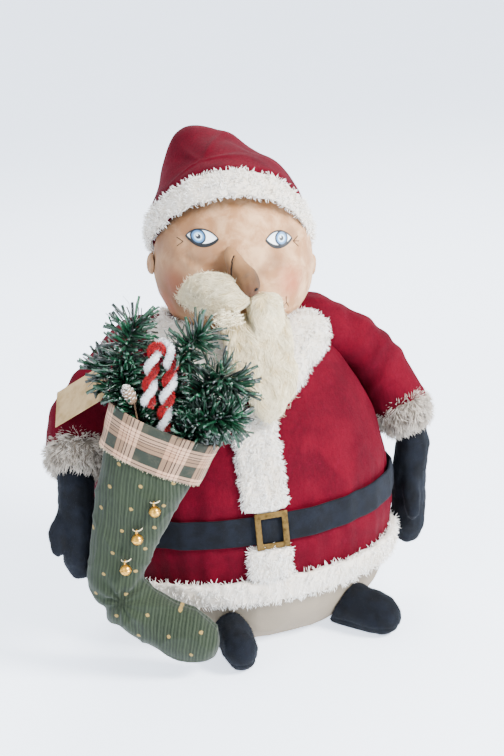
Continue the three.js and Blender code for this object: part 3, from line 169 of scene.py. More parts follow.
class Paint:
    """A material under construction."""

    def __init__(self, name: str) -> None:
        """Starts a material of this name with a plain shader."""
        self.material = bpy.data.materials.new(name)
        self.material.use_nodes = True
        self.tree = self.material.node_tree
        self.shader = self.tree.nodes["Principled BSDF"]

    def node(
        self,
        kind: str,
        settings: dict | None = None,
        values: dict | None = None,
        output: int = 0,
    ) -> Wire:
        """Adds a node.

        Args:
            kind: the node's type.
            settings: what is set on the node itself, a ramp's stops among them.
            values: numbers, colours or wires for its sockets, by name or place.
            output: which of its outputs is wanted.

        Returns:
            That output.
        """
        made = self.tree.nodes.new(kind)
        for name, value in (settings or {}).items():
            if name == "stops":
                self.fill_ramp(made.color_ramp, value)
            else:
                setattr(made, name, value)
        for name, value in (values or {}).items():
            self.feed(made.inputs[name], value)
        return Wire(self, made.outputs[output])

    @staticmethod
    def fill_ramp(ramp: bpy.types.ColorRamp, stops: Sequence[tuple[float, str]]) -> None:
        """Gives a ramp its stops, as pairs of a place and a colour's code."""
        while len(ramp.elements) < len(stops):
            ramp.elements.new(1.0)
        for element, (place, code) in zip(ramp.elements, stops):
            element.position = place
            element.color = colour(code)

    def feed(self, socket: bpy.types.NodeSocket, value: Wire | float | tuple | str) -> None:
        """Links a wire to a socket, or sets a plain value or a colour's code on it."""
        if isinstance(value, Wire):
            self.tree.links.new(value.socket, socket)
        else:
            socket.default_value = colour(value) if isinstance(value, str) else value

    def math(self, operation: str, *values: Wire | float) -> Wire:
        """One Math node on these values."""
        return self.node("ShaderNodeMath", {"operation": operation}, dict(enumerate(values)))

    def ramp(self, factor: Wire, stops: Sequence[tuple[float, str]], hard: bool = False) -> Wire:
        """A colour ramp.

        Args:
            factor: the place on it.
            stops: pairs of a place and a colour's code.
            hard: whether it changes in steps.

        Returns:
            The colour there.
        """
        made = self.node("ShaderNodeValToRGB", {"stops": stops}, {0: factor})
        if hard:
            made.socket.node.color_ramp.interpolation = "CONSTANT"
        return made

    def mix(self, factor: Wire | float, low: Wire | str, high: Wire | str, blend: str = "MIX") -> Wire:
        """Goes from one colour to another.

        Args:
            factor: nought for the low colour, one for the high one.
            low: a colour, or its code.
            high: another colour, laid on by the blend.
            blend: how the two colours meet.

        Returns:
            The mixed colour.
        """
        settings = {"data_type": "RGBA", "blend_type": blend, "clamp_factor": True}
        return self.node("ShaderNodeMix", settings, {0: factor, 6: low, 7: high}, output=2)

    def place(self, frame_matrix: Matrix | None = None) -> Wire:
        """Object coordinates in millimetres, in a frame of their own.

        Args:
            frame_matrix: the frame, or None for the doll's.

        Returns:
            The coordinates.
        """
        spot, turn, _ = (frame_matrix or Matrix.Identity(4)).decompose()
        whole = self.node("ShaderNodeTexCoord", output=3)
        values = {"Vector": whole, "Location": spot, "Rotation": turn.to_euler(), "Scale": (MM, MM, MM)}
        return self.node("ShaderNodeMapping", {"vector_type": "TEXTURE"}, values)

    def stretched(self, where: Wire, scale: Point) -> Wire:
        """Coordinates scaled along each axis."""
        return self.node("ShaderNodeVectorMath", {"operation": "MULTIPLY"}, {0: where, 1: scale})

    def parts(self, where: Wire) -> tuple[Wire, Wire, Wire]:
        """The x, y and z of coordinates."""
        split = self.tree.nodes.new("ShaderNodeSeparateXYZ")
        self.feed(split.inputs[0], where)
        return tuple(Wire(self, split.outputs[i]) for i in range(3))

    def cloud(
        self, where: Wire, size: float, detail: float = 3.0, rough: float = 0.55, bend: float = 0.0
    ) -> Wire:
        """Noise.

        Args:
            where: coordinates.
            size: the size of its patches.
            detail: how many finer layers it has.
            rough: how strong those are.
            bend: how far it is distorted.

        Returns:
            A value about one half.
        """
        values = {"Vector": where, "Scale": 1 / size, "Detail": detail, "Roughness": rough}
        return self.node("ShaderNodeTexNoise", {}, values | {"Distortion": bend})

    def attribute(self, name: str) -> Wire:
        """A value that the mesh itself carries."""
        return self.node("ShaderNodeAttribute", {"attribute_name": name}, output=2)

    def between(self, value: Wire, low: float, high: float, start: float = 0.0, end: float = 1.0) -> Wire:
        """A smooth step.

        Args:
            value: what is looked at.
            low: where the step starts.
            high: where it ends.
            start: the result below it.
            end: the result above it.

        Returns:
            The stepped value.
        """
        values = {"Value": value, 1: low, 2: high, 3: start, 4: end}
        return self.node("ShaderNodeMapRange", {"interpolation_type": "SMOOTHSTEP"}, values)

    def spot(self, where: Wire, centre: Point, radius: float, core: float) -> Wire:
        """A soft round patch.

        Args:
            where: coordinates.
            centre: its middle.
            radius: where it has faded out.
            core: the share of the radius that is full.

        Returns:
            One inside and nought outside.
        """
        away = self.node("ShaderNodeVectorMath", {"operation": "DISTANCE"}, {0: where, 1: centre}, output=1)
        return self.between(away, radius * core, radius, 1.0, 0.0)

    def wave(self, value: Wire, pitch: float) -> Wire:
        """A ripple from nought to one that repeats at a pitch."""
        return self.math("SINE", value * (2 * math.pi / pitch)) * 0.5 + 0.5

    def bump(self, height: Wire, deep: float, strength: float = 1.0) -> None:
        """Raises the surface.

        Args:
            height: the height, from nought to one.
            deep: how far one stands above nought.
            strength: how much of it shows.
        """
        values = {"Strength": strength, "Distance": deep * MM, "Height": height}
        self.feed(self.shader.inputs["Normal"], self.node("ShaderNodeBump", {}, values))

    def shade(self, **values: Wire | float | tuple | str) -> None:
        """Sets the shader's sockets, by names such as base_color."""
        for name, value in values.items():
            words = name.split("_")
            known = " ".join(word.upper() if word == "ior" else word.capitalize() for word in words)
            self.feed(self.shader.inputs[known], value)


# Finishes


@dataclass(frozen=True)
class Finish:
    """A finish of the doll, made once and shared, with the name of a material slot that it keeps."""

    name: str
    slot: str = ""

    def dress(self, paint: Paint) -> None:
        """Builds the finish's nodes."""
        raise NotImplementedError

    def material(self) -> bpy.types.Material:
        """The material of this finish."""
        known = bpy.data.materials.get(self.name)
        if known is None:
            paint = Paint(self.name)
            self.dress(paint)
            known = paint.material
        return known


@dataclass(frozen=True)
class Velvet(Finish):
    """Cotton velvet, whose nap lies this way and that in patches, and the pale cover below the hem."""

    deep: str = "220008"
    nap: str = "5a0015"
    bloom: str = "6e0829"
    sheen: str = "d23a5c"
    cover: str = "857a6a"
    cover_top: float = 46.0

    def dress(self, paint: Paint) -> None:
        """Patches of brushed nap, fine pile and a soft sheen."""
        where = paint.place()
        brushed = paint.between(paint.cloud(where, 34, 3, 0.5, 0.6), 0.3, 0.7)
        speck = paint.cloud(where, 0.9, 2, 0.7)
        ribs = paint.cloud(paint.stretched(where, (1.0, 1.0, 0.35)), 2.4, 3, 0.6)
        base = paint.mix(brushed * 0.35 + ribs * 0.5 + 0.2, self.deep, self.nap)
        worn = paint.between(paint.cloud(where, 9, 5, 0.7), 0.55, 0.78) * 0.22
        base = paint.mix(worn, base, self.bloom)
        base = paint.mix(paint.between(speck, 0.5, 0.8) * 0.35, base, self.deep)
        _, _, height = paint.parts(where)
        below = paint.between(height, self.cover_top - 1, self.cover_top + 1, 1.0, 0.0)
        base = paint.mix(below, base, self.cover)
        rough = paint.between(speck, 0.3, 0.7, 0.72, 0.95)
        paint.shade(base_color=base, roughness=rough, specular_ior_level=0.08)
        paint.shade(sheen_weight=0.02, sheen_roughness=0.4, sheen_tint=self.sheen)
        paint.bump(speck * 0.35 + ribs * 0.35 + brushed * 0.3, 0.5, 0.8)


@dataclass(frozen=True)
class PileFinish(Finish):
    """Fibres whose colour goes from root to tip; the darker roots are painted shade deep in the pile."""

    root: str = "d8cfc2"
    tip: str = "fffdf8"
    stain: str = "efe4d2"
    patch: float = 14.0
    sheen: float = 0.2

    def dress(self, paint: Paint) -> None:
        """Dark roots as painted shade in the pile, pale tips and faint patches."""
        where = paint.place()
        height = paint.between(paint.attribute("tip"), 0.0, 0.75)
        lumps = paint.cloud(where, self.patch, 4, 0.65)
        # painted shade: each fibre darkens towards its root, deep in the pile
        base = paint.mix(height, self.root, self.tip)
        base = paint.mix(paint.between(lumps, 0.45, 0.75) * 0.55, base, self.stain, "MULTIPLY")
        base = paint.mix(paint.attribute("shade") * 0.22, base, self.root)
        paint.shade(base_color=base, roughness=0.85, specular_ior_level=0.3)
        paint.shade(sheen_weight=self.sheen, sheen_roughness=0.5)
        paint.bump(paint.cloud(where, 1.1, 3, 0.7), 0.4, 0.6)


@dataclass(frozen=True)
class PaintedCotton(Finish):
    """Cotton stained with tea and dry brushed with blusher, with painted shade down one side and in the
    hollows, in the head's own frame.
    """

    base: str = "9f7048"
    pale: str = "cba27a"
    stain: str = "5f3820"
    blush: str = "a24a32"
    painted_shade: str = "6e4a2f"
    painted_shade_from: float = -66.0
    painted_shade_to: float = 4.0
    stain_and_shade_hollows: tuple[tuple[Point, float], ...] = (
        ((-33, -52, 14), 17), ((24, -56, 10), 16), ((-44, -36, 30), 12), ((40, -42, 31), 11),
        ((-58, -18, -24), 26), ((0, -50, -64), 26), ((-60, -10, 14), 16), ((60, -10, 14), 16),
        ((-22, -60, 4), 12), ((12, -60, 2), 9), ((-30, -58, 5), 9), ((-50, -38, -20), 26),
        ((-54, -32, -16), 24),
    )
    cheeks: tuple[tuple[Point, float, float], ...] = (
        ((36, -50, -8), 21, 0.62), ((-52, -34, -12), 22, 0.3), ((-56, -14, -34), 20, 0.45),
    )
    nose_only: bool = False
    # where the nose's painted shadow and painted shade lie, in the head's frame
    nose_painted_shadow: Point = (-1, -84, -12)
    nose_painted_shade: Point = (-15, -70, 4)

    def dress(self, paint: Paint) -> None:
        """Tea stain and painted shade in the hollows, painted shade down the side away from the light, blush
        on the cheeks and a fine weave; the nose also gets a painted shadow under its bulb, painted light on
        its bridge and painted shade along its side.
        """
        where = paint.place(HEAD_PLACE)
        x, _, z = paint.parts(where)
        patches = paint.cloud(where, 16, 5, 0.62, 0.4)
        base = paint.mix(paint.between(patches, 0.35, 0.68), self.base, self.pale)
        # painted shade: the face darkens towards negative x, the side away from the light
        turned = paint.between(x, self.painted_shade_from, self.painted_shade_to, 0.6, 0.0)
        base = paint.mix(turned, base, self.painted_shade)
        # the tea stain in the hollows also paints the shade that falls in them
        for centre, radius in self.stain_and_shade_hollows:
            soft = paint.spot(where, centre, radius, 0.1) * paint.between(patches, 0.2, 0.7, 0.45, 0.85)
            base = paint.mix(soft * 0.8, base, self.stain)
        for centre, radius, strength in self.cheeks:
            base = paint.mix(paint.spot(where, centre, radius, 0.1) * strength, base, self.blush)
        if self.nose_only:
            # painted shadow under the bulb, painted light up the bridge, painted shade along the side
            base = paint.mix(paint.spot(where, self.nose_painted_shadow, 15, 0.15) * 0.8, base, "4a2a18")
            base = paint.mix(paint.between(z, 0.0, 20.0, 0.0, 0.8), base, "9a6f47")
            base = paint.mix(paint.spot(where, self.nose_painted_shade, 12, 0.1) * 0.6, base, "5c3822")
        freckle = paint.between(paint.cloud(where, 2.6, 4, 0.75), 0.62, 0.76) * 0.22
        base = paint.mix(freckle, base, self.stain)
        weave = paint.wave(x + z * 0.06, 0.62) * paint.wave(z - x * 0.06, 0.62)
        base = paint.mix(weave * 0.12, base, self.pale)
        rough = paint.between(patches, 0.3, 0.7, 0.62, 0.85)
        paint.shade(base_color=base, roughness=rough, specular_ior_level=0.3)
        paint.shade(sheen_weight=0.05, subsurface_weight=0.04, subsurface_radius=(0.004, 0.002, 0.001))
        paint.bump(weave * 0.5 + paint.cloud(where, 5, 4, 0.6) * 0.5, 0.25, 0.7)


@dataclass(frozen=True)
class NavyFleece(Finish):
    """Brushed navy cloth with lint on it."""

    deep: str = "020306"
    nap: str = "0a0f18"
    lint: str = "363d47"

    def dress(self, paint: Paint) -> None:
        """Soft patches, fuzz and specks of lint."""
        where = paint.place()
        patches = paint.cloud(where, 11, 4, 0.6)
        fuzz = paint.cloud(where, 0.8, 3, 0.75)
        brushed = paint.between(patches, 0.35, 0.65) * 0.7 + fuzz * 0.3
        base = paint.mix(brushed, self.deep, self.nap)
        lint = paint.between(paint.cloud(paint.stretched(where, (1.0, 0.4, 0.7)), 1.7, 4, 0.8), 0.64, 0.74)
        base = paint.mix(lint * 0.4, base, self.lint)
        paint.shade(base_color=base, roughness=0.92, specular_ior_level=0.2)
        paint.shade(sheen_weight=0.04, sheen_roughness=0.5, sheen_tint="8c9bb5")
        paint.bump(fuzz * 0.7 + patches * 0.3, 0.55, 0.9)


@dataclass(frozen=True)
class StripedCloth(Finish):
    """Homespun ticking in sage greens with small stitched dots, in the stocking's own frame."""

    stripes: tuple[tuple[float, str], ...] = (
        (0.0, "1a2315"), (0.16, "262e20"), (0.34, "141e0f"), (0.46, "0b1409"),
        (0.55, "1d2618"), (0.74, "2c3525"), (0.88, "0f180b"), (1.0, "1a2315"),
    )
    pitch: float = 5.6
    dot_apart: float = 25.0
    row_apart: float = 18.0
    dot: float = 1.5

    def dress(self, paint: Paint) -> None:
        """Stripes along the leg, dots in staggered rows and a coarse weave."""
        where = paint.place(SOCK_PLACE)
        x, _, z = paint.parts(where)
        wander = (paint.cloud(where, 30, 2, 0.5) - 0.5) * 5.0
        across = x - z * 0.2 + wander
        beat = paint.math("FRACT", across / self.pitch)
        base = paint.ramp(beat, self.stripes)
        slub = paint.cloud(paint.stretched(where, (1.0, 1.0, 0.14)), 1.2, 3, 0.7)
        base = paint.mix(paint.between(slub, 0.4, 0.8) * 0.25, base, "3e4935")
        faded = paint.between(paint.cloud(where, 34, 3, 0.5), 0.4, 0.7) * 0.2
        base = paint.mix(faded, base, "29351f")
        row = z / self.row_apart
        odd = paint.math("MODULO", paint.math("FLOOR", row), 2.0)
        column = x / self.dot_apart + odd * 0.5 + row * 0.12
        off_x = (paint.math("FRACT", column) - 0.5) * self.dot_apart
        off_z = (paint.math("FRACT", row) - 0.5) * self.row_apart
        ragged = (paint.cloud(where, 1.2, 2, 0.6) - 0.5) * 1.3
        away = paint.math("SQRT", off_x * off_x + off_z * off_z) + ragged
        dots = paint.between(away, self.dot * 0.8, self.dot * 1.1, 1.0, 0.0)
        base = paint.mix(dots * 0.85, base, "94793f")
        weave = paint.wave(across, 0.9) * 0.5 + paint.wave(z, 0.9) * 0.5
        ridge = paint.wave(across, self.pitch / 2)
        paint.shade(base_color=base, roughness=0.9, specular_ior_level=0.25, sheen_weight=0.12)
        paint.bump(weave * 0.3 + slub * 0.25 + dots * 0.45 + ridge * 0.25, 0.5, 0.9)


@dataclass(frozen=True)
class PlaidCloth(Finish):
    """Woven check: wide grey-green bands and fine maroon lines on cream, on the piece's UV."""

    pitch: float = 24.0
    band: float = 10.0
    line: float = 0.7
    line_places: tuple[float, ...] = (0.09, 0.22, 0.30, 0.42)
    cream: str = "c49c7e"
    tan: str = "a37d60"
    green: str = "22281f"
    maroon: str = "3f1a18"

    def threads(self, paint: Paint, across: Wire) -> Wire:
        """The colour of one set of threads.

        Args:
            paint: the material under construction.
            across: the distance across these threads.

        Returns:
            Their colour.
        """
        beat = paint.math("FRACT", across / self.pitch)
        wide = self.band / self.pitch
        line = self.line / self.pitch
        stops = [(0.0, self.green), (wide, self.cream)]
        for place in self.line_places:
            ground = self.cream if place < 0.3 else self.tan
            stops += [(wide + place, self.maroon), (wide + place + line, ground)]
        stops.append((0.985, self.maroon))
        return paint.ramp(beat, stops, hard=True)

    def dress(self, paint: Paint) -> None:
        """Warp over weft, thread by thread."""
        where = paint.node("ShaderNodeUVMap")
        u, v, _ = paint.parts(where)
        over = paint.between(paint.wave(u + v, 1.1), 0.35, 0.65)
        base = paint.mix(over * 0.2 + 0.4, self.threads(paint, u), self.threads(paint, v + 3.0))
        worn = paint.between(paint.cloud(paint.place(), 9, 4, 0.6), 0.4, 0.75) * 0.1
        base = paint.mix(worn, base, "8f7a62")
        weave = paint.wave(u, 0.8) * 0.5 + paint.wave(v, 0.8) * 0.5
        paint.shade(base_color=base, roughness=0.9, specular_ior_level=0.25, sheen_weight=0.1)
        paint.bump(weave, 0.22, 0.8)


@dataclass(frozen=True)
class CutFilm(Finish):
    """Needles cut from glossy green plastic film."""

    dark: str = "020f09"
    light: str = "164a2f"

    def dress(self, paint: Paint) -> None:
        """Each needle has its own green."""
        base = paint.mix(paint.attribute("shade"), self.dark, self.light)
        dusty = paint.between(paint.cloud(paint.place(), 5, 3, 0.6), 0.5, 0.8) * 0.14
        base = paint.mix(dusty, base, "517d65")
        paint.shade(base_color=base, roughness=0.32, specular_ior_level=0.6, coat_roughness=0.2)
        paint.shade(coat_weight=0.35)


@dataclass(frozen=True)
class Metal(Finish):
    """A plated metal with tarnish."""

    bright: str = "d9a445"
    dull: str = "5f3f14"
    rough: float = 0.24
    patch: float = 2.5

    def dress(self, paint: Paint) -> None:
        """Bright metal, dull in patches, with fine scratches."""
        where = paint.place()
        tarnish = paint.between(paint.cloud(where, self.patch, 5, 0.7), 0.42, 0.7)
        base = paint.mix(tarnish * 0.75, self.bright, self.dull)
        paint.shade(base_color=base, metallic=1.0, roughness=tarnish * 0.25 + self.rough)
        paint.bump(paint.cloud(where, self.patch * 0.4, 3, 0.6), 0.06, 0.7)


@dataclass(frozen=True)
class Paper(Finish):
    """Aged card for the tag."""

    def dress(self, paint: Paint) -> None:
        """Fibres, foxing and a faint brown cast."""
        where = paint.place()
        fibres = paint.cloud(paint.stretched(where, (1.0, 0.3, 1.0)), 0.6, 3, 0.7)
        age = paint.between(paint.cloud(where, 13, 4, 0.6), 0.35, 0.7)
        base = paint.mix(age, "b99d72", "977b50")
        base = paint.mix(paint.between(fibres, 0.6, 0.75) * 0.25, base, "80663f")
        paint.shade(base_color=base, roughness=0.85, specular_ior_level=0.25)
        paint.bump(fibres, 0.05, 0.6)


@dataclass(frozen=True)
class Matte(Finish):
    """A plain matt stuff: muslin, board, wadding, thread or steel pellets."""

    low: str = "c9bda2"
    high: str = "e6dcc6"
    size: float = 1.2
    deep: float = 0.3
    rough: float = 0.9
    metal: float = 0.0

    def dress(self, paint: Paint) -> None:
        """Two shades in fine patches, raised a little."""
        where = paint.place()
        grain = paint.cloud(where, self.size, 4, 0.65)
        base = paint.mix(paint.between(grain, 0.35, 0.65), self.low, self.high)
        paint.shade(base_color=base, roughness=self.rough, metallic=self.metal, specular_ior_level=0.3)
        paint.bump(grain, self.deep, 0.7)


@dataclass(frozen=True)
class EyeWhite(Finish):
    """The painted white of an eye with its dark lids, on the piece's UV."""

    half_wide: float = EYE_HALF_WIDE
    half_tall: float = EYE_HALF_TALL

    def dress(self, paint: Paint) -> None:
        """White, a thin upper lid and a thick lower one."""
        u, v, _ = paint.parts(paint.node("ShaderNodeUVMap"))
        arch = paint.math("MAXIMUM", 1 - (u / self.half_wide) * (u / self.half_wide), 0.0) ** 0.8
        from_top = arch * self.half_tall - v
        from_bottom = arch * self.half_tall + v
        top_lid = paint.between(from_top, 1.1, 1.45, 1.0, 0.0)
        low_lid = paint.between(from_bottom, 2.3, 2.75, 1.0, 0.0)
        shadow = paint.between(from_top, 1.0, 4.0, 0.5, 0.0)
        base = paint.mix(shadow, "f4f7f8", "a9bfd0")
        base = paint.mix(top_lid, base, "23262b")
        base = paint.mix(low_lid, base, "101215")
        paint.shade(base_color=base, roughness=0.5, specular_ior_level=0.4)
        paint.bump(paint.cloud(paint.place(), 0.9, 3, 0.6), 0.08, 0.6)


@dataclass(frozen=True)
class IrisPaint(Finish):
    """A painted iris: rings of blue, a pupil and one white glint, on the piece's UV."""

    radius: float = IRIS_RADIUS
    rings: tuple[tuple[float, str], ...] = (
        (0.0, "0a0d12"), (0.30, "0f1722"), (0.36, "c4def0"), (0.50, "a6cbe8"), (0.56, "5f8db8"),
        (0.74, "44709b"), (0.80, "2c5075"), (0.84, "121b27"), (1.0, "10161f"),
    )
    glint: Point = (-0.7, 0.9, 0.0)

    def dress(self, paint: Paint) -> None:
        """Rings from the middle out."""
        where = paint.node("ShaderNodeUVMap")
        u, v, _ = paint.parts(where)
        away = paint.math("SQRT", u * u + v * v) + (paint.cloud(where, 1.0, 2, 0.5) - 0.5) * 0.25
        base = paint.ramp(away / self.radius, self.rings)
        base = paint.mix(paint.spot(where, self.glint, 0.75, 0.75), base, "ffffff")
        paint.shade(base_color=base, roughness=0.4, specular_ior_level=0.5)
        paint.bump(paint.cloud(where, 0.7, 3, 0.6), 0.06, 0.6)


@dataclass(frozen=True)
class ConeScales(Finish):
    """Brown cone scales with frosted tips."""

    def dress(self, paint: Paint) -> None:
        """Brown wood, white where the frost lies."""
        where = paint.place()
        grain = paint.cloud(where, 1.4, 4, 0.7)
        base = paint.mix(grain, "3d2a1c", "8a6d4f")
        frost = paint.between(paint.attribute("tip") + (grain - 0.5) * 0.7, 0.74, 0.98)
        base = paint.mix(frost * 0.85, base, "e4e2dc")
        paint.shade(base_color=base, roughness=0.8)
        paint.bump(grain, 0.25, 0.8)


@dataclass(frozen=True)
class Floor(Finish):
    """A pale studio floor that glows a little, like a lit sheet."""

    glow: float = 2.0

    def dress(self, paint: Paint) -> None:
        """Almost white, with a faint unevenness."""
        haze = paint.cloud(paint.place(), 400, 2, 0.5)
        paint.shade(base_color=paint.mix(haze, "e8eff8", "f3f8fe"), roughness=0.8)
        paint.shade(emission_color="dfeafc", emission_strength=self.glow)


VELVET = Velvet("crimson_velvet", "red_velvet")
FUR = PileFinish("cream_fur", "white_fur")
# the white fur darkened for the cuffs: painted shade
SHADED_FUR = PileFinish("shaded_fur", "white_fur", root="6d6357", tip="cbc1b3", stain="a99c8b", patch=18.0)
WOOL = PileFinish("combed_wool", "cream_wool", "cbb98c", "fff4d4", "ecdcb4", patch=9.0, sheen=0.15)
RED_PILE = PileFinish("red_chenille_pile", "red_chenille", "5a0007", "c0000e", "b00010", sheen=0.1)
WHITE_PILE = PileFinish("white_chenille_pile", "white_chenille", "dcdce0", "ffffff", "f0f0f4", sheen=0.2)
SKIN = PaintedCotton("painted_skin", "painted_cotton")
NOSE_SKIN = PaintedCotton("painted_nose", "painted_cotton", base="40290f", pale="5a3c20", nose_only=True)
NAVY = NavyFleece("navy_fleece", "navy_cloth")
STRIPES = StripedCloth("green_ticking", "green_stripe")
PLAID = PlaidCloth("woven_plaid", "plaid_cloth")
NEEDLES = CutFilm("needle_film", "pine_plastic")
BRASS = Metal("bell_brass", "brass_bell")
BRONZE = Metal("buckle_bronze", "bronze_metal", bright="66502c", dull="2c2010", rough=0.46, patch=5.0)
STEEL = Metal("pea_steel", "steel_pea", bright="b5b7ba", dull="6d6f73", rough=0.35)
PAPER = Paper("tag_card", "cream_paper")
MUSLIN = Matte("plain_muslin_cloth", "plain_muslin")
BOARD = Matte("grey_base_board", "grey_board", low="8f8a80", high="aaa498", size=2.0, deep=0.1)
WADDING = Matte("polyester_wadding", "polyester_stuffing", low="e4e4e0", high="fafaf7", size=4.0, deep=1.2)
PELLETS = Matte("pellet_cloth", "pellets", low="bdb299", high="ddd3bd", size=3.0, deep=0.8)
THREAD = Matte("cotton_thread", "plain_muslin", low="b8a985", high="e0d3b3", size=0.5, deep=0.1)
DARK_THREAD = Matte("dark_thread", "painted_cotton", low="0a0807", high="1c1410", size=0.5, deep=0.1)
EYE_WHITE = EyeWhite("eye_white_coat", "eye_white_paint")
IRIS = IrisPaint("iris_coat", "eye_blue_paint")
CONE = ConeScales("frosted_cone", "cone_scales")
FLOOR = Floor("studio_floor")


# Meshes


def at(x: float, y: float, z: float, within: Matrix | None = None) -> Vector:
    """A point given in millimetres, as metres in the doll's frame.

    Args:
        x: across.
        y: from front to back.
        z: up.
        within: the frame that the numbers are in, or None for the doll's.

    Returns:
        The point.
    """
    point = Vector((x, y, z)) * MM
    return within @ point if within else point


def aimed(within: Matrix, x: float, y: float, z: float) -> Vector:
    """A direction given in a frame, in the doll's own."""
    return within.to_3x3() @ Vector((x, y, z))


def around(angle: float) -> Vector:
    """A direction across a frame, at an angle from its x axis."""
    return Vector((math.cos(angle), math.sin(angle), 0))


def hill(away: float, wide: float) -> float:
    """One in the middle of a soft hill, and less further away."""
    return math.exp(-((away / wide) ** 2))


def slope(value: float, low: float, high: float) -> float:
    """Nought up to a low value, one from a high value on, and straight between them."""
    return max(0.0, min(1.0, (value - low) / (high - low)))


def crease(point: Vector, seed: float) -> float:
    """Sharp creases that wander over a surface, one at their bottom."""
    return max(1.0 - abs(noise.noise(point / (30 * MM) + Vector((seed, 0, 0)))) * 2.8, 0.0) ** 3


def solid_copy(*nodes: str) -> BMesh:
    """The solids of these CAD nodes, welded, in one mesh."""
    form = bmesh.new()
    for name in nodes:
        form.from_mesh(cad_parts[name].data)
    bmesh.ops.remove_doubles(form, verts=form.verts, dist=1e-6)
    return form


def add_object(name: str, data: bpy.types.ID) -> bpy.types.Object:
    """Puts an object with this data in the scene."""
    made = bpy.data.objects.new(name, data)
    bpy.context.collection.objects.link(made)
    return made


def remeshed(form: BMesh, voxel: float) -> BMesh:
    """Gives a form an even skin of small faces.

    Args:
        form: closed solids, which are used up.
        voxel: the size of the new faces.

    Returns:
        The new form.
    """
    mesh = bpy.data.meshes.new("draft")
    form.to_mesh(mesh)
    form.free()
    draft = add_object("draft", mesh)
    change = draft.modifiers.new("even", "REMESH")
    change.mode = "VOXEL"
    change.voxel_size = voxel * MM
    seen = draft.evaluated_get(bpy.context.evaluated_depsgraph_get())
    result = bpy.data.meshes.new_from_object(seen)
    made = bmesh.new()
    made.from_mesh(result)
    bpy.data.objects.remove(draft)
    bpy.data.meshes.remove(mesh)
    bpy.data.meshes.remove(result)
    return made


def keep_outside(form: BMesh) -> None:
    """Removes loose scraps and the walls of closed hollows."""
    islands: list[list[BMVert]] = []
    seen: set[BMVert] = set()
    for start in form.verts:
        if start in seen:
            continue
        island = [start]
        seen.add(start)
        for reached in island:
            near = [link.other_vert(reached) for link in reached.link_edges]
            island += [vert for vert in near if vert not in seen]
            seen.update(near)
        islands.append(island)
    most = max(len(island) for island in islands)
    spare = [vert for island in islands if len(island) < SCRAP * most for vert in island]
    bmesh.ops.delete(form, geom=spare, context="VERTS")


def relax(form: BMesh, rounds: int) -> None:
    """Smooths a form in a few rounds."""
    axes = {"use_axis_x": True, "use_axis_y": True, "use_axis_z": True}
    for _ in range(rounds):
        bmesh.ops.smooth_vert(form, verts=form.verts, factor=0.5, **axes)


def face_outwards(form: BMesh) -> None:
    """Turns the faces of closed forms outwards."""
    bmesh.ops.recalc_face_normals(form, faces=form.faces)


def keep_above(form: BMesh, level: float) -> None:
    """Lifts every point below a level, in metres, up to it."""
    for vert in form.verts:
        vert.co.z = max(vert.co.z, level)


def soft_form(
    nodes: Sequence[str], voxel: float, rounds: int = 4, balls: Sequence[tuple[Vector, float]] = ()
) -> BMesh:
    """The outer skin of CAD solids that lie together, softened.

    Args:
        nodes: the CAD nodes.
        voxel: the size of the new faces.
        rounds: how often it is smoothed.
        balls: balls that fill it out, each a centre and a radius.

    Returns:
        The form.
    """
    solids = solid_copy(*nodes)
    for centre, radius in balls:
        place = Matrix.Translation(centre)
        bmesh.ops.create_icosphere(solids, subdivisions=4, radius=radius * MM, matrix=place)
    form = remeshed(solids, voxel)
    keep_outside(form)
    relax(form, rounds)
    form.normal_update()
    return form


def sculpt(form: BMesh, shift: Shift) -> None:
    """Moves each point along its normal.

    Args:
        form: the form.
        shift: gives the way out in millimetres for a point and its normal, both in metres.
    """
    form.normal_update()
    moves = [(vert, vert.normal * shift(vert.co, vert.normal) * MM) for vert in form.verts]
    for vert, move in moves:
        vert.co += move
    form.normal_update()


def lumps(size: float, high: float, seed: float = 0.0) -> Shift:
    """A shift that makes soft lumps.

    Args:
        size: their size.
        high: how high they are.
        seed: moves the pattern.

    Returns:
        The shift.
    """
    def shift(point: Vector, _normal: Vector) -> float:
        """The height of the lumps here."""
        return high * noise.noise(point / (size * MM) + Vector((seed, seed * 0.7, 0)))

    return shift


def groove(points: Sequence[Vector], wide: float, deep: float) -> Shift:
    """A shift that sinks a line into a surface.

    Args:
        points: the line.
        wide: its half width.
        deep: its depth.

    Returns:
        The shift.
    """
    def shift(point: Vector, _normal: Vector) -> float:
        """The depth of the line here."""
        nearest = min(line_distance(point, a, b) for a, b in zip(points, points[1:])) / MM
        return -deep * hill(nearest, wide) if nearest < 3 * wide else 0.0

    return shift


def line_distance(point: Vector, start: Vector, end: Vector) -> float:
    """How far a point is from a stretch of line."""
    way = end - start
    share = max(0.0, min(1.0, (point - start).dot(way) / max(way.length_squared, 1e-12)))
    return (point - start - way * share).length


def curve_through(points: Sequence[Vector], count: int) -> list[Vector]:
    """Points along a smooth curve.

    Args:
        points: what it passes through.
        count: how many points are wanted.

    Returns:
        The points, evenly spread.
    """
    given = list(points)
    fine: list[Vector] = []
    for span in range(len(given) - 1):
        b, c = given[span], given[span + 1]
        a = given[span - 1] if span else b * 2 - c
        d = given[span + 2] if span + 2 < len(given) else c * 2 - b
        fine += [through(a, b, c, d, step / 16) for step in range(16)]
    fine.append(given[-1].copy())
    lengths = [0.0]
    for before, after in zip(fine, fine[1:]):
        lengths.append(lengths[-1] + (after - before).length)
    made, k = [], 0
    for i in range(count):
        goal = lengths[-1] * i / (count - 1)
        while k < len(lengths) - 2 and lengths[k + 1] < goal:
            k += 1
        share = (goal - lengths[k]) / max(lengths[k + 1] - lengths[k], 1e-12)
        made.append(fine[k].lerp(fine[k + 1], min(share, 1.0)))
    return made


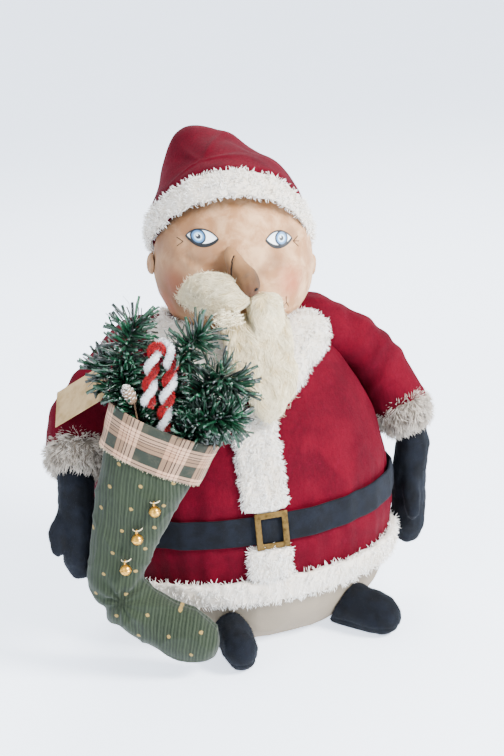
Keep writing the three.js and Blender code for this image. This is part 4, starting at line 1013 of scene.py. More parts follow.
def steady_frames(path: Sequence[Vector], side: Vector | None = None) -> list[Matrix]:
    """A frame at each point of a path, its z axis along the path.

    Args:
        path: the points.
        side: the way that x starts out, or None for any.

    Returns:
        One matrix a point, without sudden turns.
    """
    frames = []
    across = side or Vector((0.31, 0.52, 0.8))
    for i, point in enumerate(path):
        ahead = (path[min(i + 1, len(path) - 1)] - path[max(i - 1, 0)]).normalized()
        across = (across - ahead * across.dot(ahead)).normalized()
        turned = Matrix((across, ahead.cross(across), ahead)).transposed().to_4x4()
        frames.append(Matrix.Translation(point) @ turned)
    return frames


def even(radius: float) -> Size:
    """The size of a round tube that is equally thick all along."""
    return lambda _t: (radius, radius)


def add_tube(
    form: BMesh,
    path: Sequence[Vector],
    size: Size,
    sides: int = 12,
    side: Vector | None = None,
    ends: bool = True,
) -> list[list[BMVert]]:
    """Adds a tube along a path.

    Args:
        form: where it goes.
        path: its middle.
        size: its half width and half thickness, by the share of the way along.
        sides: the faces round it.
        side: the way that its width runs, or None for any.
        ends: whether its ends are closed.

    Returns:
        Its rings of points.
    """
    rings = []
    frames = steady_frames(path, side)
    for i, place in enumerate(frames):
        wide, thick = size(i / (len(path) - 1))
        scaled = place @ Matrix.Diagonal((wide * MM, thick * MM, 1, 1))
        ring = bmesh.ops.create_circle(form, radius=1, segments=sides, matrix=scaled)["verts"]
        rings.append(ring)
    for low, high in zip(rings, rings[1:]):
        for k in range(sides):
            after = (k + 1) % sides
            form.faces.new((low[k], low[after], high[after], high[k]))
    if ends:
        form.faces.new(rings[0][::-1])
        form.faces.new(rings[-1])
    return rings


def round_ends(t: float, start: float, end: float) -> float:
    """One along a tube, and almost nought at its round ends."""
    first = min(t / start, 1) if start else 1
    last = min((1 - t) / end, 1) if end else 1
    return math.sqrt(1 - (1 - first) ** 2 + 1e-3) * math.sqrt(1 - (1 - last) ** 2 + 1e-3)


def through(a: Value, b: Value, c: Value, d: Value, t: float) -> Value:
    """The smooth curve from b to c that comes from a and goes on to d, at a share t of the way."""
    square, cube = 2 * a - 5 * b + 4 * c - d, 3 * b - a - 3 * c + d
    return 0.5 * (2 * b + (c - a) * t + square * t * t + cube * t ** 3)


def spread(values: Sequence[float], t: float) -> float:
    """Values spread evenly along a tube, joined by a smooth curve."""
    last = len(values) - 1
    k = min(int(t * last), last - 1)
    return through(values[max(k - 1, 0)], values[k], values[k + 1], values[min(k + 2, last)], t * last - k)


@dataclass(frozen=True)
class Pile:
    """A pile of fibres that grows from a surface."""

    count: int
    length: float
    width: float
    lift: float = 0.5
    tuft: float = 5.0
    swirl: float = 1.0
    wave: float = 0.5
    steps: int = 3
    sink: float = 0.6
    seed: int = 1
    hug: float = 0.0


FLEECE = Pile(7000, 6.5, 0.72, lift=0.75, tuft=3.6, swirl=1.0, wave=0.75)
BRIM_FLEECE = Pile(7200, 5.5, 0.74, lift=0.8, tuft=3.6, swirl=1.0, wave=0.85, seed=31)
POMPOM_FLEECE = Pile(3600, 8.5, 0.7, lift=1.0, tuft=4.0, swirl=0.8, wave=0.5, seed=37)
CUFF_FLEECE = Pile(5000, 9.5, 0.66, lift=0.7, tuft=5.0, swirl=0.9, wave=0.4, seed=41)
LOBE_WOOL = Pile(3600, 16, 0.42, 0.16, 9.0, swirl=1.3, wave=0.3, steps=5, sink=0.2, seed=11, hug=0.7)
LOBE_FUZZ = Pile(1400, 8, 0.26, 0.6, 4.0, swirl=1.7, wave=0.8, steps=4, sink=0.2, seed=17)
BEARD_WOOL = Pile(4600, 20, 0.45, 0.15, 10.0, swirl=1.0, wave=0.25, steps=4, sink=0.2, seed=23, hug=0.8)
BEARD_FUZZ = Pile(1600, 9, 0.26, 0.5, 5.0, swirl=1.6, wave=0.8, steps=4, sink=0.2, seed=29)
CLOTH_FUZZ = Pile(3600, 1.6, 0.16, 0.6, 3.0, swirl=1.0, wave=0.6, steps=2, sink=0.1)
CHENILLE = Pile(6000, 3.0, 0.4, 1.6, 3.0, swirl=0.5, wave=0.12, steps=2, sink=0.3, seed=71)


def grow(form: BMesh, pile: Pile, comb: Comb, keep: Callable[[Vector], bool] | None = None) -> None:
    """Grows fibres from a form and joins them to it.

    Args:
        form: the form, which gets the values tip and shade on its points.
        pile: what the fibres are like.
        comb: the way that they are combed, for a point and its normal.
        keep: says whether a fibre grows at a point, or None for everywhere.
    """
    tip_layer = form.verts.layers.float.get("tip") or form.verts.layers.float.new("tip")
    shade_layer = form.verts.layers.float.get("shade") or form.verts.layers.float.new("shade")
    form.normal_update()
    surface = BVHTree.FromBMesh(form) if pile.hug else None
    corners, reach, total = [], [], 0.0
    for loops in form.calc_loop_triangles():
        verts = [loop.vert for loop in loops]
        a, b, c = (vert.co.copy() for vert in verts)
        total += (b - a).cross(c - a).length
        reach.append(total)
        corners.append((a, b, c, *(vert.normal.copy() for vert in verts)))
    rng = random.Random(pile.seed)
    drift = Vector((pile.seed * 1.7, pile.seed * 0.3, pile.seed * 2.1))
    for a, b, c, na, nb, nc in rng.choices(corners, cum_weights=reach, k=pile.count):
        u, v = rng.random(), rng.random()
        if u + v > 1:
            u, v = 1 - u, 1 - v
        root = a + (b - a) * u + (c - a) * v
        if keep and not keep(root):
            continue
        normal = (na * (1 - u - v) + nb * u + nc * v).normalized()
        eddy = noise.noise_vector(root / (pile.tuft * MM) + drift)
        lean = comb(root, normal) + eddy * pile.swirl
        lean -= normal * lean.dot(normal)
        direction = (normal * pile.lift + lean + random_way(rng) * 0.18).normalized()
        turn = normal.cross(direction) * pile.wave * (1 if eddy.z > 0 else -1)
        length = pile.length * rng.uniform(0.65, 1.0) * MM / pile.steps
        point = root - normal * pile.sink * MM
        shade, before = rng.random(), None
        for step in range(pile.steps):
            thick = pile.width / 2 * MM * (1 - 0.45 * step / pile.steps)
            across = direction.cross(normal)
            across = across.normalized() if across.length > 1e-6 else direction.orthogonal().normalized()
            rise = across.cross(direction)
            ring = []
            for x, y in ((1.0, 0.0), (-0.5, 0.87), (-0.5, -0.87)):
                vert = form.verts.new(point + (across * x + rise * y) * thick)
                vert[tip_layer] = 0.12 + 0.88 * step / pile.steps
                vert[shade_layer] = shade
                ring.append(vert)
            if before:
                for k in range(3):
                    form.faces.new((before[k], before[k - 2], ring[k - 2], ring[k]))
            before = ring
            point = point + direction * length
            if surface:
                spot, out, _, _ = surface.find_nearest(point)
                point = point.lerp(spot + out * pile.hug * MM * (0.4 + shade), 0.8)
                normal = out
            direction = (direction + turn).normalized()
            turn = turn - direction * turn.dot(direction)
        end = form.verts.new(point)
        end[tip_layer] = 1.0
        end[shade_layer] = shade
        for k in range(3):
            form.faces.new((before[k], before[k - 2], end))


def random_way(rng: random.Random) -> Vector:
    """A random vector in a cube about nought."""
    return Vector((rng.uniform(-1, 1), rng.uniform(-1, 1), rng.uniform(-1, 1)))


def downward(_point: Vector, _normal: Vector) -> Vector:
    """Combs a pile down."""
    return Vector((0, 0, -0.6))


def piece(
    name: str,
    form: BMesh,
    finish: Finish,
    body: str | None,
    stands_for: Sequence[str] = (),
    finer: int = 0,
) -> bpy.types.Object:
    """Makes a form a piece of the doll.

    Args:
        name: the piece's name.
        form: its form, which is used up.
        finish: what covers it.
        body: the body that it moves with, or None if it will bend between two.
        stands_for: the CAD nodes that it replaces.
        finer: levels of subdivision.

    Returns:
        The piece.
    """
    mesh = bpy.data.meshes.new(name)
    form.to_mesh(mesh)
    form.free()
    mesh.shade_smooth()
    mesh.materials.append(finish.material())
    made = add_object(name, mesh)
    if finer:
        subdivide(made, finer)
    if body:
        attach(made, body)
    if stands_for:
        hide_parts(*stands_for)
    LOG.info("%s: %d faces", name, len(mesh.polygons))
    return made


def subdivide(made: bpy.types.Object, levels: int) -> None:
    """Subdivides a piece smoothly."""
    skin = made.modifiers.new("finer", "SUBSURF")
    skin.levels = skin.render_levels = levels


def give_thickness(made: bpy.types.Object, cloth: float, offset: float = -1.0) -> None:
    """Gives a sheet its thickness, inwards for an offset of minus one."""
    wall = made.modifiers.new("cloth", "SOLIDIFY")
    wall.thickness = cloth * MM
    wall.offset = offset


def dress_node(node: str, finish: Finish) -> None:
    """Gives a CAD node that stays a better finish."""
    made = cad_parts[node]
    made.data.materials.clear()
    made.data.materials.append(finish.material())


def smooth_node_copy(node: str, finish: Finish, body: str, voxel: float, bumps: Shift) -> None:
    """Replaces a hidden soft node with a softened, lumpy copy of it, 2 mm further inside its cover."""
    form = soft_form([node], voxel, 3)
    sculpt(form, lambda point, normal: bumps(point, normal) - 2.0)
    piece(f"{node}_soft", form, finish, body, [node])


# Sub-assemblies


@dataclass
class Torso:
    """The coat, its fur, the belt and what the body holds."""

    belt_middle: float = 111.0
    belt_half: float = 12.0
    belt_thick: float = 2.2
    buckle_bar: float = 5.0
    hem_top: float = 68.0
    hem_low: float = 45.0
    neck: float = 236.0
    side_seam: float = 12.0
    squash: float = 216 / 256
    gathers: int = 44
    neck_gathers: int = 26
    shoulder: Point = (57, 10, 246)
    shoulder_ball: float = 25.0
    lapel: float = 13.0
    puff: float = 10.0
    puff_at: Point = (54, -38, 241)

    def build(self) -> None:
        """Builds every piece of the torso."""
        self.coat()
        self.fur_trim()
        self.belt()
        self.buckle()
        self.inside()

    def coat_shift(self, point: Vector, normal: Vector) -> float:
        """How the stuffed velvet swells and gathers here."""
        x, y, z = point / MM
        if z < 4:
            return 0.0
        round_it = math.atan2(y / self.squash, x)
        from_belt = abs(z - self.belt_middle)
        pinch = -2.2 * hill(from_belt, 9) + 1.3 * hill(from_belt - 24, 9)
        pleat = math.sin(round_it * self.gathers + 2.5 * noise.noise(point / (30 * MM)))
        at_belt = 0.55 * pleat * math.exp(-max(from_belt - self.belt_half, 0) / 12)
        at_hem = 0.8 * pleat * math.exp(-abs(z - self.hem_top) / 16)
        at_neck = 0.9 * math.sin(round_it * self.neck_gathers) * math.exp(-max(self.neck - z, 0) / 14)
        seam = -1.1 * hill(y - self.side_seam, 2.2) if abs(x) > 40 else 0.0
        back_seam = -1.0 * hill(x, 2.2) if y > 40 else 0.0
        ridge = 1.0 - abs(noise.noise(Vector((x * 0.022, y * 0.022, z * 0.011 + 4))) * 2)
        folds = 1.5 * max(ridge, 0.0) ** 4
        return pinch + at_belt + at_hem + at_neck + seam + back_seam + folds + lumps(38, 1.6)(point, normal)

    def coat(self) -> None:
        """The velvet body."""
        nodes = ["coat_body", "body_stuffing", "pellet_bag", "base_board", "base_cover"]
        x, y, z = self.shoulder
        shoulders = [(at(side.sign * x, y, z), self.shoulder_ball) for side in Side]
        form = soft_form(nodes, 4.8, 4, shoulders)
        sculpt(form, self.coat_shift)
        keep_above(form, 0.0)
        made = piece("velvet_coat", form, VELVET, "torso", ["coat_body"], 1)

    def clear_of_belt(self, point: Vector) -> bool:
        """Whether fibres of the placket may grow here without showing through the buckle."""
        above = point.z / MM - self.belt_middle
        return above > self.belt_half + 8 or above < -self.belt_half - 1

    def collar_shift(self, point: Vector, normal: Vector) -> float:
        """The collar's lumps, and its fuller lapel on the doll's left."""
        x, y, z = point / MM
        outer = slope(x, 12, 26) * slope(-y, 20, 40) * slope(z, 200, 210)
        outer *= 0.45 + 0.55 * slope(z, 208, 228)
        away = max(normal.x, 0.0) + max(-normal.z, 0.0) * 0.3
        puff = self.puff * hill((point - at(*self.puff_at)).length, 20 * MM)
        return lumps(6, 1.8, 1.0)(point, normal) + self.lapel * outer * away + puff

    def fur_trim(self) -> None:
        """The hem, the placket and the collar."""
        trims = (
            ("fur_hem", "coat_hem", replace(FLEECE, width=0.74, seed=3)),
            ("fur_placket", "coat_placket", replace(FLEECE, count=5600, seed=5)),
            ("fur_collar", "coat_collar", replace(FLEECE, count=6800, seed=7)),
        )
        for name, node, pile in trims:
            form = soft_form([node], 2.4, 2)
            sculpt(form, self.collar_shift if node == "coat_collar" else lumps(6, 1.8, 1.0))
            if node == "coat_hem":
                keep_above(form, self.hem_low * MM)
            grow(form, pile, downward, self.clear_of_belt if node == "coat_placket" else None)
            piece(name, form, FUR, "torso", [node])

    def belt(self) -> None:
        """A folded strip of navy cloth that follows the body."""
        solid = BVHTree.FromBMesh(solid_copy("belt"))
        low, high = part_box("belt")
        tall = high.z - low.z
        form = bmesh.new()
        bmesh.ops.create_cone(form, cap_ends=False, segments=200, radius1=1, radius2=1, depth=tall)
        upright = [edge for edge in form.edges if abs(edge.verts[0].co.z - edge.verts[1].co.z) > tall / 2]
        bmesh.ops.subdivide_edges(form, edges=upright, cuts=9)
        for vert in form.verts:
            height = vert.co.z + (low.z + high.z) / 2
            level = max(low.z + MM, min(high.z - MM, height))
            out = Vector((vert.co.x, vert.co.y, 0)).normalized()
            hit = solid.ray_cast(out * 0.4 + Vector((0, 0, level)), -out)[0]
            ripple = noise.noise(Vector((out.x * 9, out.y * 9, height / MM * 0.05))) * 0.7 * MM
            vert.co = Vector((hit.x, hit.y, height)) + out * ripple
            vert.co.z += noise.noise(Vector((out.x * 5, out.y * 5, 3))) * 1.0 * MM
        made = piece("navy_belt", form, NAVY, "torso", ["belt"])
        give_thickness(made, self.belt_thick)
        subdivide(made, 1)

    def buckle(self) -> None:
        """A cast frame buckle with rounded bars."""
        low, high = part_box("belt_buckle")
        middle = (low + high) / 2
        wide, tall = (high.x - low.x) / 2, (high.z - low.z) / 2
        place = Matrix.Translation((middle.x, low.y, middle.z)) @ Matrix.Rotation(math.pi / 2, 4, "X")
        corner = math.sqrt(2)
        form = bmesh.new()
        loops = []
        for shrink in (0.0, self.buckle_bar * MM):
            size = Matrix.Diagonal(((wide - shrink) * corner, (tall - shrink) * corner, 1, 1))
            scaled = place @ size @ Matrix.Rotation(math.pi / 4, 4, "Z")
            ring = bmesh.ops.create_circle(form, radius=1, segments=4, matrix=scaled)["verts"]
            loops += [edge for edge in form.edges if edge.verts[0] in ring and edge.verts[1] in ring]
        bmesh.ops.bridge_loops(form, edges=loops)
        grown = bmesh.ops.extrude_face_region(form, geom=form.faces[:])["geom"]
        back = [item for item in grown if isinstance(item, BMVert)]
        bmesh.ops.translate(form, verts=back, vec=(0, high.y - low.y, 0))
        face_outwards(form)
        sharp = [edge for edge in form.edges if edge.is_manifold and edge.calc_face_angle() > 0.5]
        bmesh.ops.bevel(
            form, geom=sharp, offset=0.8 * MM, segments=3, profile=0.5, affect="EDGES", material=-1
        )
        face_outwards(form)
        piece("bronze_buckle", form, BRONZE, "torso", ["belt_buckle"])

    def inside(self) -> None:
        """What the body holds, and its base."""
        smooth_node_copy("body_stuffing", WADDING, "torso", 5.0, lumps(14, 1.5))
        smooth_node_copy("pellet_bag", PELLETS, "torso", 5.0, lumps(5, 0.8))
        dress_node("base_cover", MUSLIN)
        dress_node("base_board", BOARD)
        dress_node("neck_post", MUSLIN)


@dataclass
class Head:
    """The head of painted cotton, its features and its wool."""

    eye_up: float = 26.0
    eyes: tuple[tuple[Side, float, float], ...] = ((Side.RIGHT, -34.5, -3.0), (Side.LEFT, 26.5, 2.2))
    eye_bags: tuple[float, ...] = (-37, 24)
    wrinkles: tuple[tuple[Pair, ...], ...] = (
        ((-28, 11), (-37, 7.5), (-47, 9.5)),
        ((-26, 6.5), (-34, 4), (-42, 5)),
        ((12, 8), (22, 4.5), (33, 4)),
        ((14, 13.5), (24, 10.5), (33, 11.5)),
        ((-30, 42), (-18, 45), (-4, 43)),
    )
    threads: tuple[tuple[Pair, Pair], ...] = (
        ((-48.5, 21.5), (-53, 24)), ((-48.5, 21.5), (-53, 17.5)),
        ((39.5, 24.0), (44.5, 27.2)), ((39.5, 24.0), (44.5, 19.5)), ((40, 24), (45.5, 23.2)),
        ((34, -19.5), (34.8, -25.5)), ((34.8, -25.5), (29.5, -30.0)), ((34.5, -24), (37.5, -28.5)),
        ((-50, -30), (-45, -31.5)),
    )
    nose_seam: tuple[Pair, ...] = ((-15, 24), (-18.5, 14), (-18.5, 6), (-16, -1))
    nose_bulb: Point = (0, -78, -5)
    nose_knot: Point = (6, -92, -10)
    ear: Point = (70, -2, -4)
    curls: int = 60
    lobe_middle: float = 282.0
    lobe_fall: Point = (0.2, -0.9, -1.2)
    form_tree: BVHTree | None = None

    def build(self) -> None:
        """Builds every piece of the head."""
        self.skin()
        self.painted_eyes()
        self.nose()
        self.ears()
        self.stitches()
        self.moustache()
        self.beard()
        self.loose_curls()
        smooth_node_copy("head_stuffing", WADDING, "head", 5.0, lumps(14, 1.2))

    def on_face(self, x: float, z: float, lift: float) -> Vector:
        """The point of the face in front of a place in the head's frame.

        Args:
            x: across.
            z: up.
            lift: how far off the cloth.

        Returns:
            The point, in the doll's frame.
        """
        start = at(x, -120, z, HEAD_PLACE)
        spot, out, _, _ = self.form_tree.ray_cast(start, aimed(HEAD_PLACE, 0, 1, 0))
        return spot + out * lift * MM

    def skin(self) -> None:
        """The stuffed head, with its creases."""
        form = soft_form(["head_skin", "head_stuffing", "neck_post"], 2.6, 4)
        back = HEAD_PLACE.inverted()
        self.form_tree = BVHTree.FromBMesh(form)
        lines = []
        for wrinkle in self.wrinkles:
            path = [self.on_face(x, z, 0) for x, z in wrinkle]
            lines.append(groove(curve_through(path, 7), 1.8, 1.5))
        sockets = [(self.on_face(x, self.eye_up, 0), 15 * MM, 1.6) for _, x, _ in self.eyes]
        bags = [(self.on_face(x, 13, 0), 8 * MM, 1.5) for x in self.eye_bags]

        def shift(point: Vector, normal: Vector) -> float:
            """Creases, eye sockets, bags and a seam over the crown."""
            local = back @ point / MM
            out = lumps(17, 1.0)(point, normal) + lumps(6, 0.35, 3.0)(point, normal)
            if local.y < 0:
                out += sum(line(point, normal) for line in lines)
            for centre, reach, deep in sockets:
                out -= deep * hill((point - centre).length, reach)
            for centre, reach, high in bags:
                out += high * hill((point - centre).length, reach)
            side_seam = -0.9 * hill(local.y - 6, 1.8) if abs(local.x) > 20 else 0.0
            return out + side_seam

        sculpt(form, shift)
        self.form_tree = BVHTree.FromBMesh(form)
        made = piece("cotton_head", form, SKIN, "head", ["head_skin"], 1)

    def painted_eyes(self) -> None:
        """The whites with their lids, and the irises."""
        for side, x, iris_off in self.eyes:
            name = side.value
            white = self.patch(x, self.eye_up, EYE_HALF_WIDE, self.almond, 0.25)
            piece(f"{name}_eye_white", white, EYE_WHITE, "head", [f"{name}_eye"])
            ring = self.patch(x + iris_off, self.eye_up + 0.6, IRIS_RADIUS, self.disc, 0.62)
            piece(f"{name}_eye_iris", ring, IRIS, "head", [f"{name}_iris"])

    @staticmethod
    def almond(across: float) -> float:
        """Half the height of an eye at a share of its half width."""
        return EYE_HALF_TALL * max(1 - across * across, 0.0) ** 0.8

    @staticmethod
    def disc(across: float) -> float:
        """Half the height of the iris at a share of its half width."""
        return IRIS_RADIUS * math.sqrt(max(1 - across * across, 0.0))

    def patch(
        self, x: float, z: float, half: float, outline: Callable[[float], float], lift: float
    ) -> BMesh:
        """A layer of paint on the face.

        Args:
            x: its middle, across the head's frame.
            z: its middle, up the head's frame.
            half: its half width.
            outline: half its height, by the share of its half width.
            lift: how far off the cloth it lies.

        Returns:
            Its form, with UV from the middle.
        """
        form = bmesh.new()
        bmesh.ops.create_grid(form, x_segments=40, y_segments=20, size=1)
        layer = form.loops.layers.uv.new("UVMap")
        flat = {}
        for vert in form.verts:
            u = math.sin(vert.co.x * math.pi / 2)
            flat[vert] = (u * half, vert.co.y * outline(u))
        for face in form.faces:
            for loop in face.loops:
                loop[layer].uv = flat[loop.vert]
        for vert, (u, v) in flat.items():
            vert.co = self.on_face(x + u, z + v, lift)
        bmesh.ops.remove_doubles(form, verts=form.verts, dist=0.02 * MM)
        face_outwards(form)
        toward = aimed(HEAD_PLACE, 0, -1, 0)
        if sum(face.normal.dot(toward) for face in form.faces) < 0:
            bmesh.ops.reverse_faces(form, faces=form.faces)
        bmesh.ops.solidify(form, geom=form.faces[:], thickness=-0.25 * MM)
        face_outwards(form)
        return form

    def nose(self) -> None:
        """The long nose, with a seam down its side and a knot of dark thread on its tip."""
        form = soft_form(["nose"], 1.1, 4)
        tree = BVHTree.FromBMesh(form)
        line = [tree.find_nearest(at(x, -78, z, HEAD_PLACE))[0] for x, z in self.nose_seam]
        seam = groove(line, 1.1, 1.1)
        bulb = at(*self.nose_bulb, HEAD_PLACE)

        def shift(point: Vector, normal: Vector) -> float:
            """A seam along the side, a full bulb and soft lumps."""
            full = 2.4 * hill((point - bulb).length, 13 * MM)
            return seam(point, normal) + full + lumps(6, 0.5)(point, normal)

        sculpt(form, shift)
        tree = BVHTree.FromBMesh(form)
        piece("cotton_nose", form, NOSE_SKIN, "head", ["nose"], 1)
        stitched = bmesh.new()
        hits = map(tree.find_nearest, curve_through(line, 24))
        path = [spot + out * 0.15 * MM for spot, out, _, _ in hits]
        add_tube(stitched, path, lambda _t: (0.6, 0.35), 6)
        face_outwards(stitched)
        piece("nose_seam", stitched, DARK_THREAD, "head")
        spot, out, _, _ = tree.find_nearest(at(*self.nose_knot, HEAD_PLACE))
        knot = bmesh.new()
        flat = Matrix.Translation(spot) @ out.to_track_quat("Z", "Y").to_matrix().to_4x4()
        size = Matrix.Diagonal((2.0 * MM, 1.5 * MM, 0.8 * MM, 1))
        bmesh.ops.create_icosphere(knot, subdivisions=3, radius=1, matrix=flat @ size)
        piece("nose_knot", knot, DARK_THREAD, "head")

    def ears(self) -> None:
        """The ears, each with its hollow."""
        x, y, z = self.ear
        for side in Side:
            name = f"{side.value}_ear"
            form = soft_form([name], 0.8, 3)
            centre = at(side.sign * x, y, z, HEAD_PLACE)
            sculpt(form, lambda point, _: -1.6 * hill((point - centre).length, 4.5 * MM))
            piece(f"{side.value}_cotton_ear", form, SKIN, "head", [name], 1)

    def stitches(self) -> None:
        """Dark threads: crow's feet and the corners of the mouth."""
        form = bmesh.new()
        for (ax, az), (bx, bz) in self.threads:
            spots = [(ax + (bx - ax) * k / 4, az + (bz - az) * k / 4) for k in range(5)]
            path = [self.on_face(x, z, 0.15) for x, z in spots]
            add_tube(form, path, even(0.28), 6)
        face_outwards(form)
        piece("face_stitches", form, DARK_THREAD, "head")

    def moustache(self) -> None:
        """Two lobes of combed wool."""
        for side in Side:
            name = f"{side.value}_moustache"
            form = soft_form([name], 1.8, 3)
            sculpt(form, lumps(9, 1.3, 2.0))
            out, length = aimed(HEAD_PLACE, -1, 0, -0.35), 16
            if side is Side.LEFT:
                out, length = aimed(HEAD_PLACE, 0.3, 0, -1.3), 26
                for vert in form.verts:
                    below = max(0.0, self.lobe_middle - vert.co.z / MM)
                    vert.co += Vector(self.lobe_fall) * below * MM

            def comb(_point: Vector, _normal: Vector, way: Vector = out) -> Vector:
                """Outwards along the lobe."""
                return way * 1.6

            grow(form, replace(LOBE_WOOL, length=length, seed=LOBE_WOOL.seed + side.sign), comb)
            grow(form, replace(LOBE_FUZZ, seed=LOBE_FUZZ.seed + side.sign), comb)
            piece(f"{name}_wool", form, WOOL, "head", [name])

    def beard(self) -> None:
        """The beard, a long loose lock of wool."""
        form = soft_form(["beard"], 2.0, 3)

        def ripple(point: Vector, normal: Vector) -> float:
            """Locks that run down the beard."""
            x, _, z = point / MM
            locks = math.sin(x * 0.42 + 3 * noise.noise(Vector((x * 0.02, 0, z * 0.02))))
            return 0.5 * locks + lumps(16, 2.6)(point, normal)

        def comb(point: Vector, _normal: Vector) -> Vector:
            """Down, and in towards the tip."""
            return Vector(((0.008 - point.x) * 14, 0, -1.6))

        sculpt(form, ripple)
        grow(form, BEARD_WOOL, comb)
        grow(form, BEARD_FUZZ, comb)
        piece("beard_wool", form, WOOL, "head", ["beard"])

    def loose_curls(self) -> None:
        """Loose curls of wool that hang out below the right lobe."""
        rng = random.Random(83)
        form = bmesh.new()
        for name in ("tip", "shade"):
            form.verts.layers.float.new(name)
        wool = BVHTree.FromBMesh(solid_copy("right_moustache"))
        for _ in range(self.curls):
            spot, out, _, _ = wool.find_nearest(at(rng.uniform(-26, -2), -92, rng.uniform(270, 290)))
            spot = spot + out * 4.5 * MM
            round_it, reach, turns = rng.uniform(1.2, 2.8), rng.uniform(5, 12), rng.uniform(1.2, 2.6)
            way = (out + Vector((rng.uniform(-0.5, 0.5), -0.2, -0.9))).normalized()
            frame_at = Matrix.Translation(spot) @ way.to_track_quat("Z", "Y").to_matrix().to_4x4()
            start, steps = rng.uniform(0, 2 * math.pi), 21
            path = []
            for k in range(steps + 1):
                angle = start + turns * 2 * math.pi * k / steps
                x, y = math.cos(angle) * round_it, math.sin(angle) * round_it
                path.append(frame_at @ (Vector((x, y, reach * k / steps)) * MM))
            add_tube(form, path, even(0.26), 4)
        for vert in form.verts:
            vert[form.verts.layers.float["tip"]] = 0.7
        face_outwards(form)
        piece("loose_wool_curls", form, WOOL, "head")


@dataclass
class Hat:
    """The velvet hat with its brim, tail and pompom. Its peak, dent and tail are in the doll's frame."""

    radius: float = 65.0
    squash: float = 0.98
    cloth: float = 2.0
    brim_sink: float = 2.8
    arch: float = 7.0
    slim: float = 6.0
    rise: tuple[Pair, ...] = ((0, 3), (-6, 30.8), (-15, 61.6), (-20, 89))
    narrowing: tuple[float, ...] = (1, 0.965, 0.87, 0.7, 0.48, 0.22)
    peak: Point = (-9, 36, 408)
    dent: Point = (40, 14, 394)
    tail_start: Point = (14, 66, 400)
    tail_end: Point = (17, 90, 366)

    def build(self) -> None:
        """Builds every piece of the hat."""
        self.cap()
        self.brim()
        self.tail()
        self.pompom()

    def cap_size(self, t: float) -> Pair:
        """Half the cap's width and depth, by the share of the way up."""
        size = (self.radius * spread(self.narrowing, t) + self.cloth) * round_ends(t, 0, 0.14)
        return size, size * self.squash

    def fitted(self, point: Vector, low: float) -> Vector:
        """How the hat's rim arches over the brow and lies close on the left.

        Args:
            point: where.
            low: one at the rim and nought well above it.

        Returns:
            The shift there.
        """
        x, y, _ = point / MM
        rise = (self.arch - 2 * self.arch * ((x - 8) / 75) ** 2) * slope(-y, -30, 20) * low
        return Vector((-self.slim * slope(x, 45, 80), 0, rise)) * MM

    def cap(self) -> None:
        """The cap, which sits on the ring and folds over at the top."""
        form = bmesh.new()
        path = curve_through([at(x, 0, z, BRIM_PLACE) for x, z in self.rise], 70)
        rings = add_tube(form, path, self.cap_size, 150, aimed(BRIM_PLACE, 1, 0, 0), ends=False)
        form.faces.new(rings[-1])
        face_outwards(form)
        relax(form, 2)
        back = BRIM_PLACE.inverted()
        peak, middle = at(*self.peak), at(*self.dent)

        def shift(point: Vector, normal: Vector) -> float:
            """A soft peak, folds that run up to it, and a sag over the brim."""
            local = back @ point / MM
            from_peak = point - peak
            round_it = math.atan2(from_peak.y + 0.05, from_peak.x)
            fold = 1.0 - abs(math.sin(round_it * 3.0 + 0.6 + noise.noise(point / (60 * MM)) * 1.1))
            ridge = 3.0 * max(fold - 0.5, 0.0) * slope(local.z, 6, 46)
            tip = 6.5 * hill(from_peak.length, 17 * MM)
            dent = -10.5 * hill((point - middle).length, 30 * MM)
            sag = 1.8 * hill(local.z - 18, 8)
            return ridge + tip + dent + sag + lumps(24, 1.5, 5.0)(point, normal)

        sculpt(form, shift)
        for vert in form.verts:
            low = max(0.0, 1 - max((back @ vert.co).z, 0.0) / (40 * MM))
            vert.co += self.fitted(vert.co, low)
        made = piece("velvet_cap", form, VELVET, "head", ["hat_cap"])
        give_thickness(made, self.cloth)

    def brim(self) -> None:
        """The fleece brim."""
        form = soft_form(["hat_brim"], 2.2, 2)
        uneven = lumps(7, 2.2, 2.0)
        sculpt(form, lambda point, normal: uneven(point, normal) - self.brim_sink)
        for vert in form.verts:
            vert.co += self.fitted(vert.co, 1.0)
        back = BRIM_PLACE.inverted()

        def comb(point: Vector, _normal: Vector) -> Vector:
            """Out from the hat and a little down."""
            local = back @ point
            return BRIM_PLACE.to_3x3() @ Vector((local.x, local.y, -0.03)).normalized() * 0.3

        grow(form, BRIM_FLEECE, comb)
        piece("fur_brim", form, FUR, "head", ["hat_brim"])

    def tail(self) -> None:
        """The tail that hangs from the hat's tip."""
        form = soft_form(["hat_tail"], 1.8, 4)

        def shift(point: Vector, normal: Vector) -> float:
            """Folds across the tail."""
            folds = math.sin(point.z / MM * 0.32 + 3 * noise.noise(point / (20 * MM)))
            return 1.3 * folds + lumps(12, 1.0)(point, normal)

        sculpt(form, shift)
        made = piece("velvet_tail", form, VELVET, None, ["hat_tail"], 1)
        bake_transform(made, "head", "hat_end", start=at(*self.tail_start), end=at(*self.tail_end))

    def pompom(self) -> None:
        """A round tuft of fleece."""
        form = soft_form(["hat_pompom"], 2.2, 2)
        sculpt(form, lumps(6, 1.2, 4.0))
        grow(form, POMPOM_FLEECE, lambda _point, _normal: Vector((0, 0, -0.1)))
        piece("fur_pompom", form, FUR, "hat_end", ["hat_pompom"])


LEFT_ARM = ((46, 9, 244), (62, 10, 246), (76, 10, 243), (112, 12, 220), (135, 8, 188), (148, 2, 156))
RIGHT_ARM = (
    (-46, 11, 244), (-62, 10, 246), (-79, 2, 242), (-124, -36, 212), (-136, -50, 196), (-140, -62, 180),
)


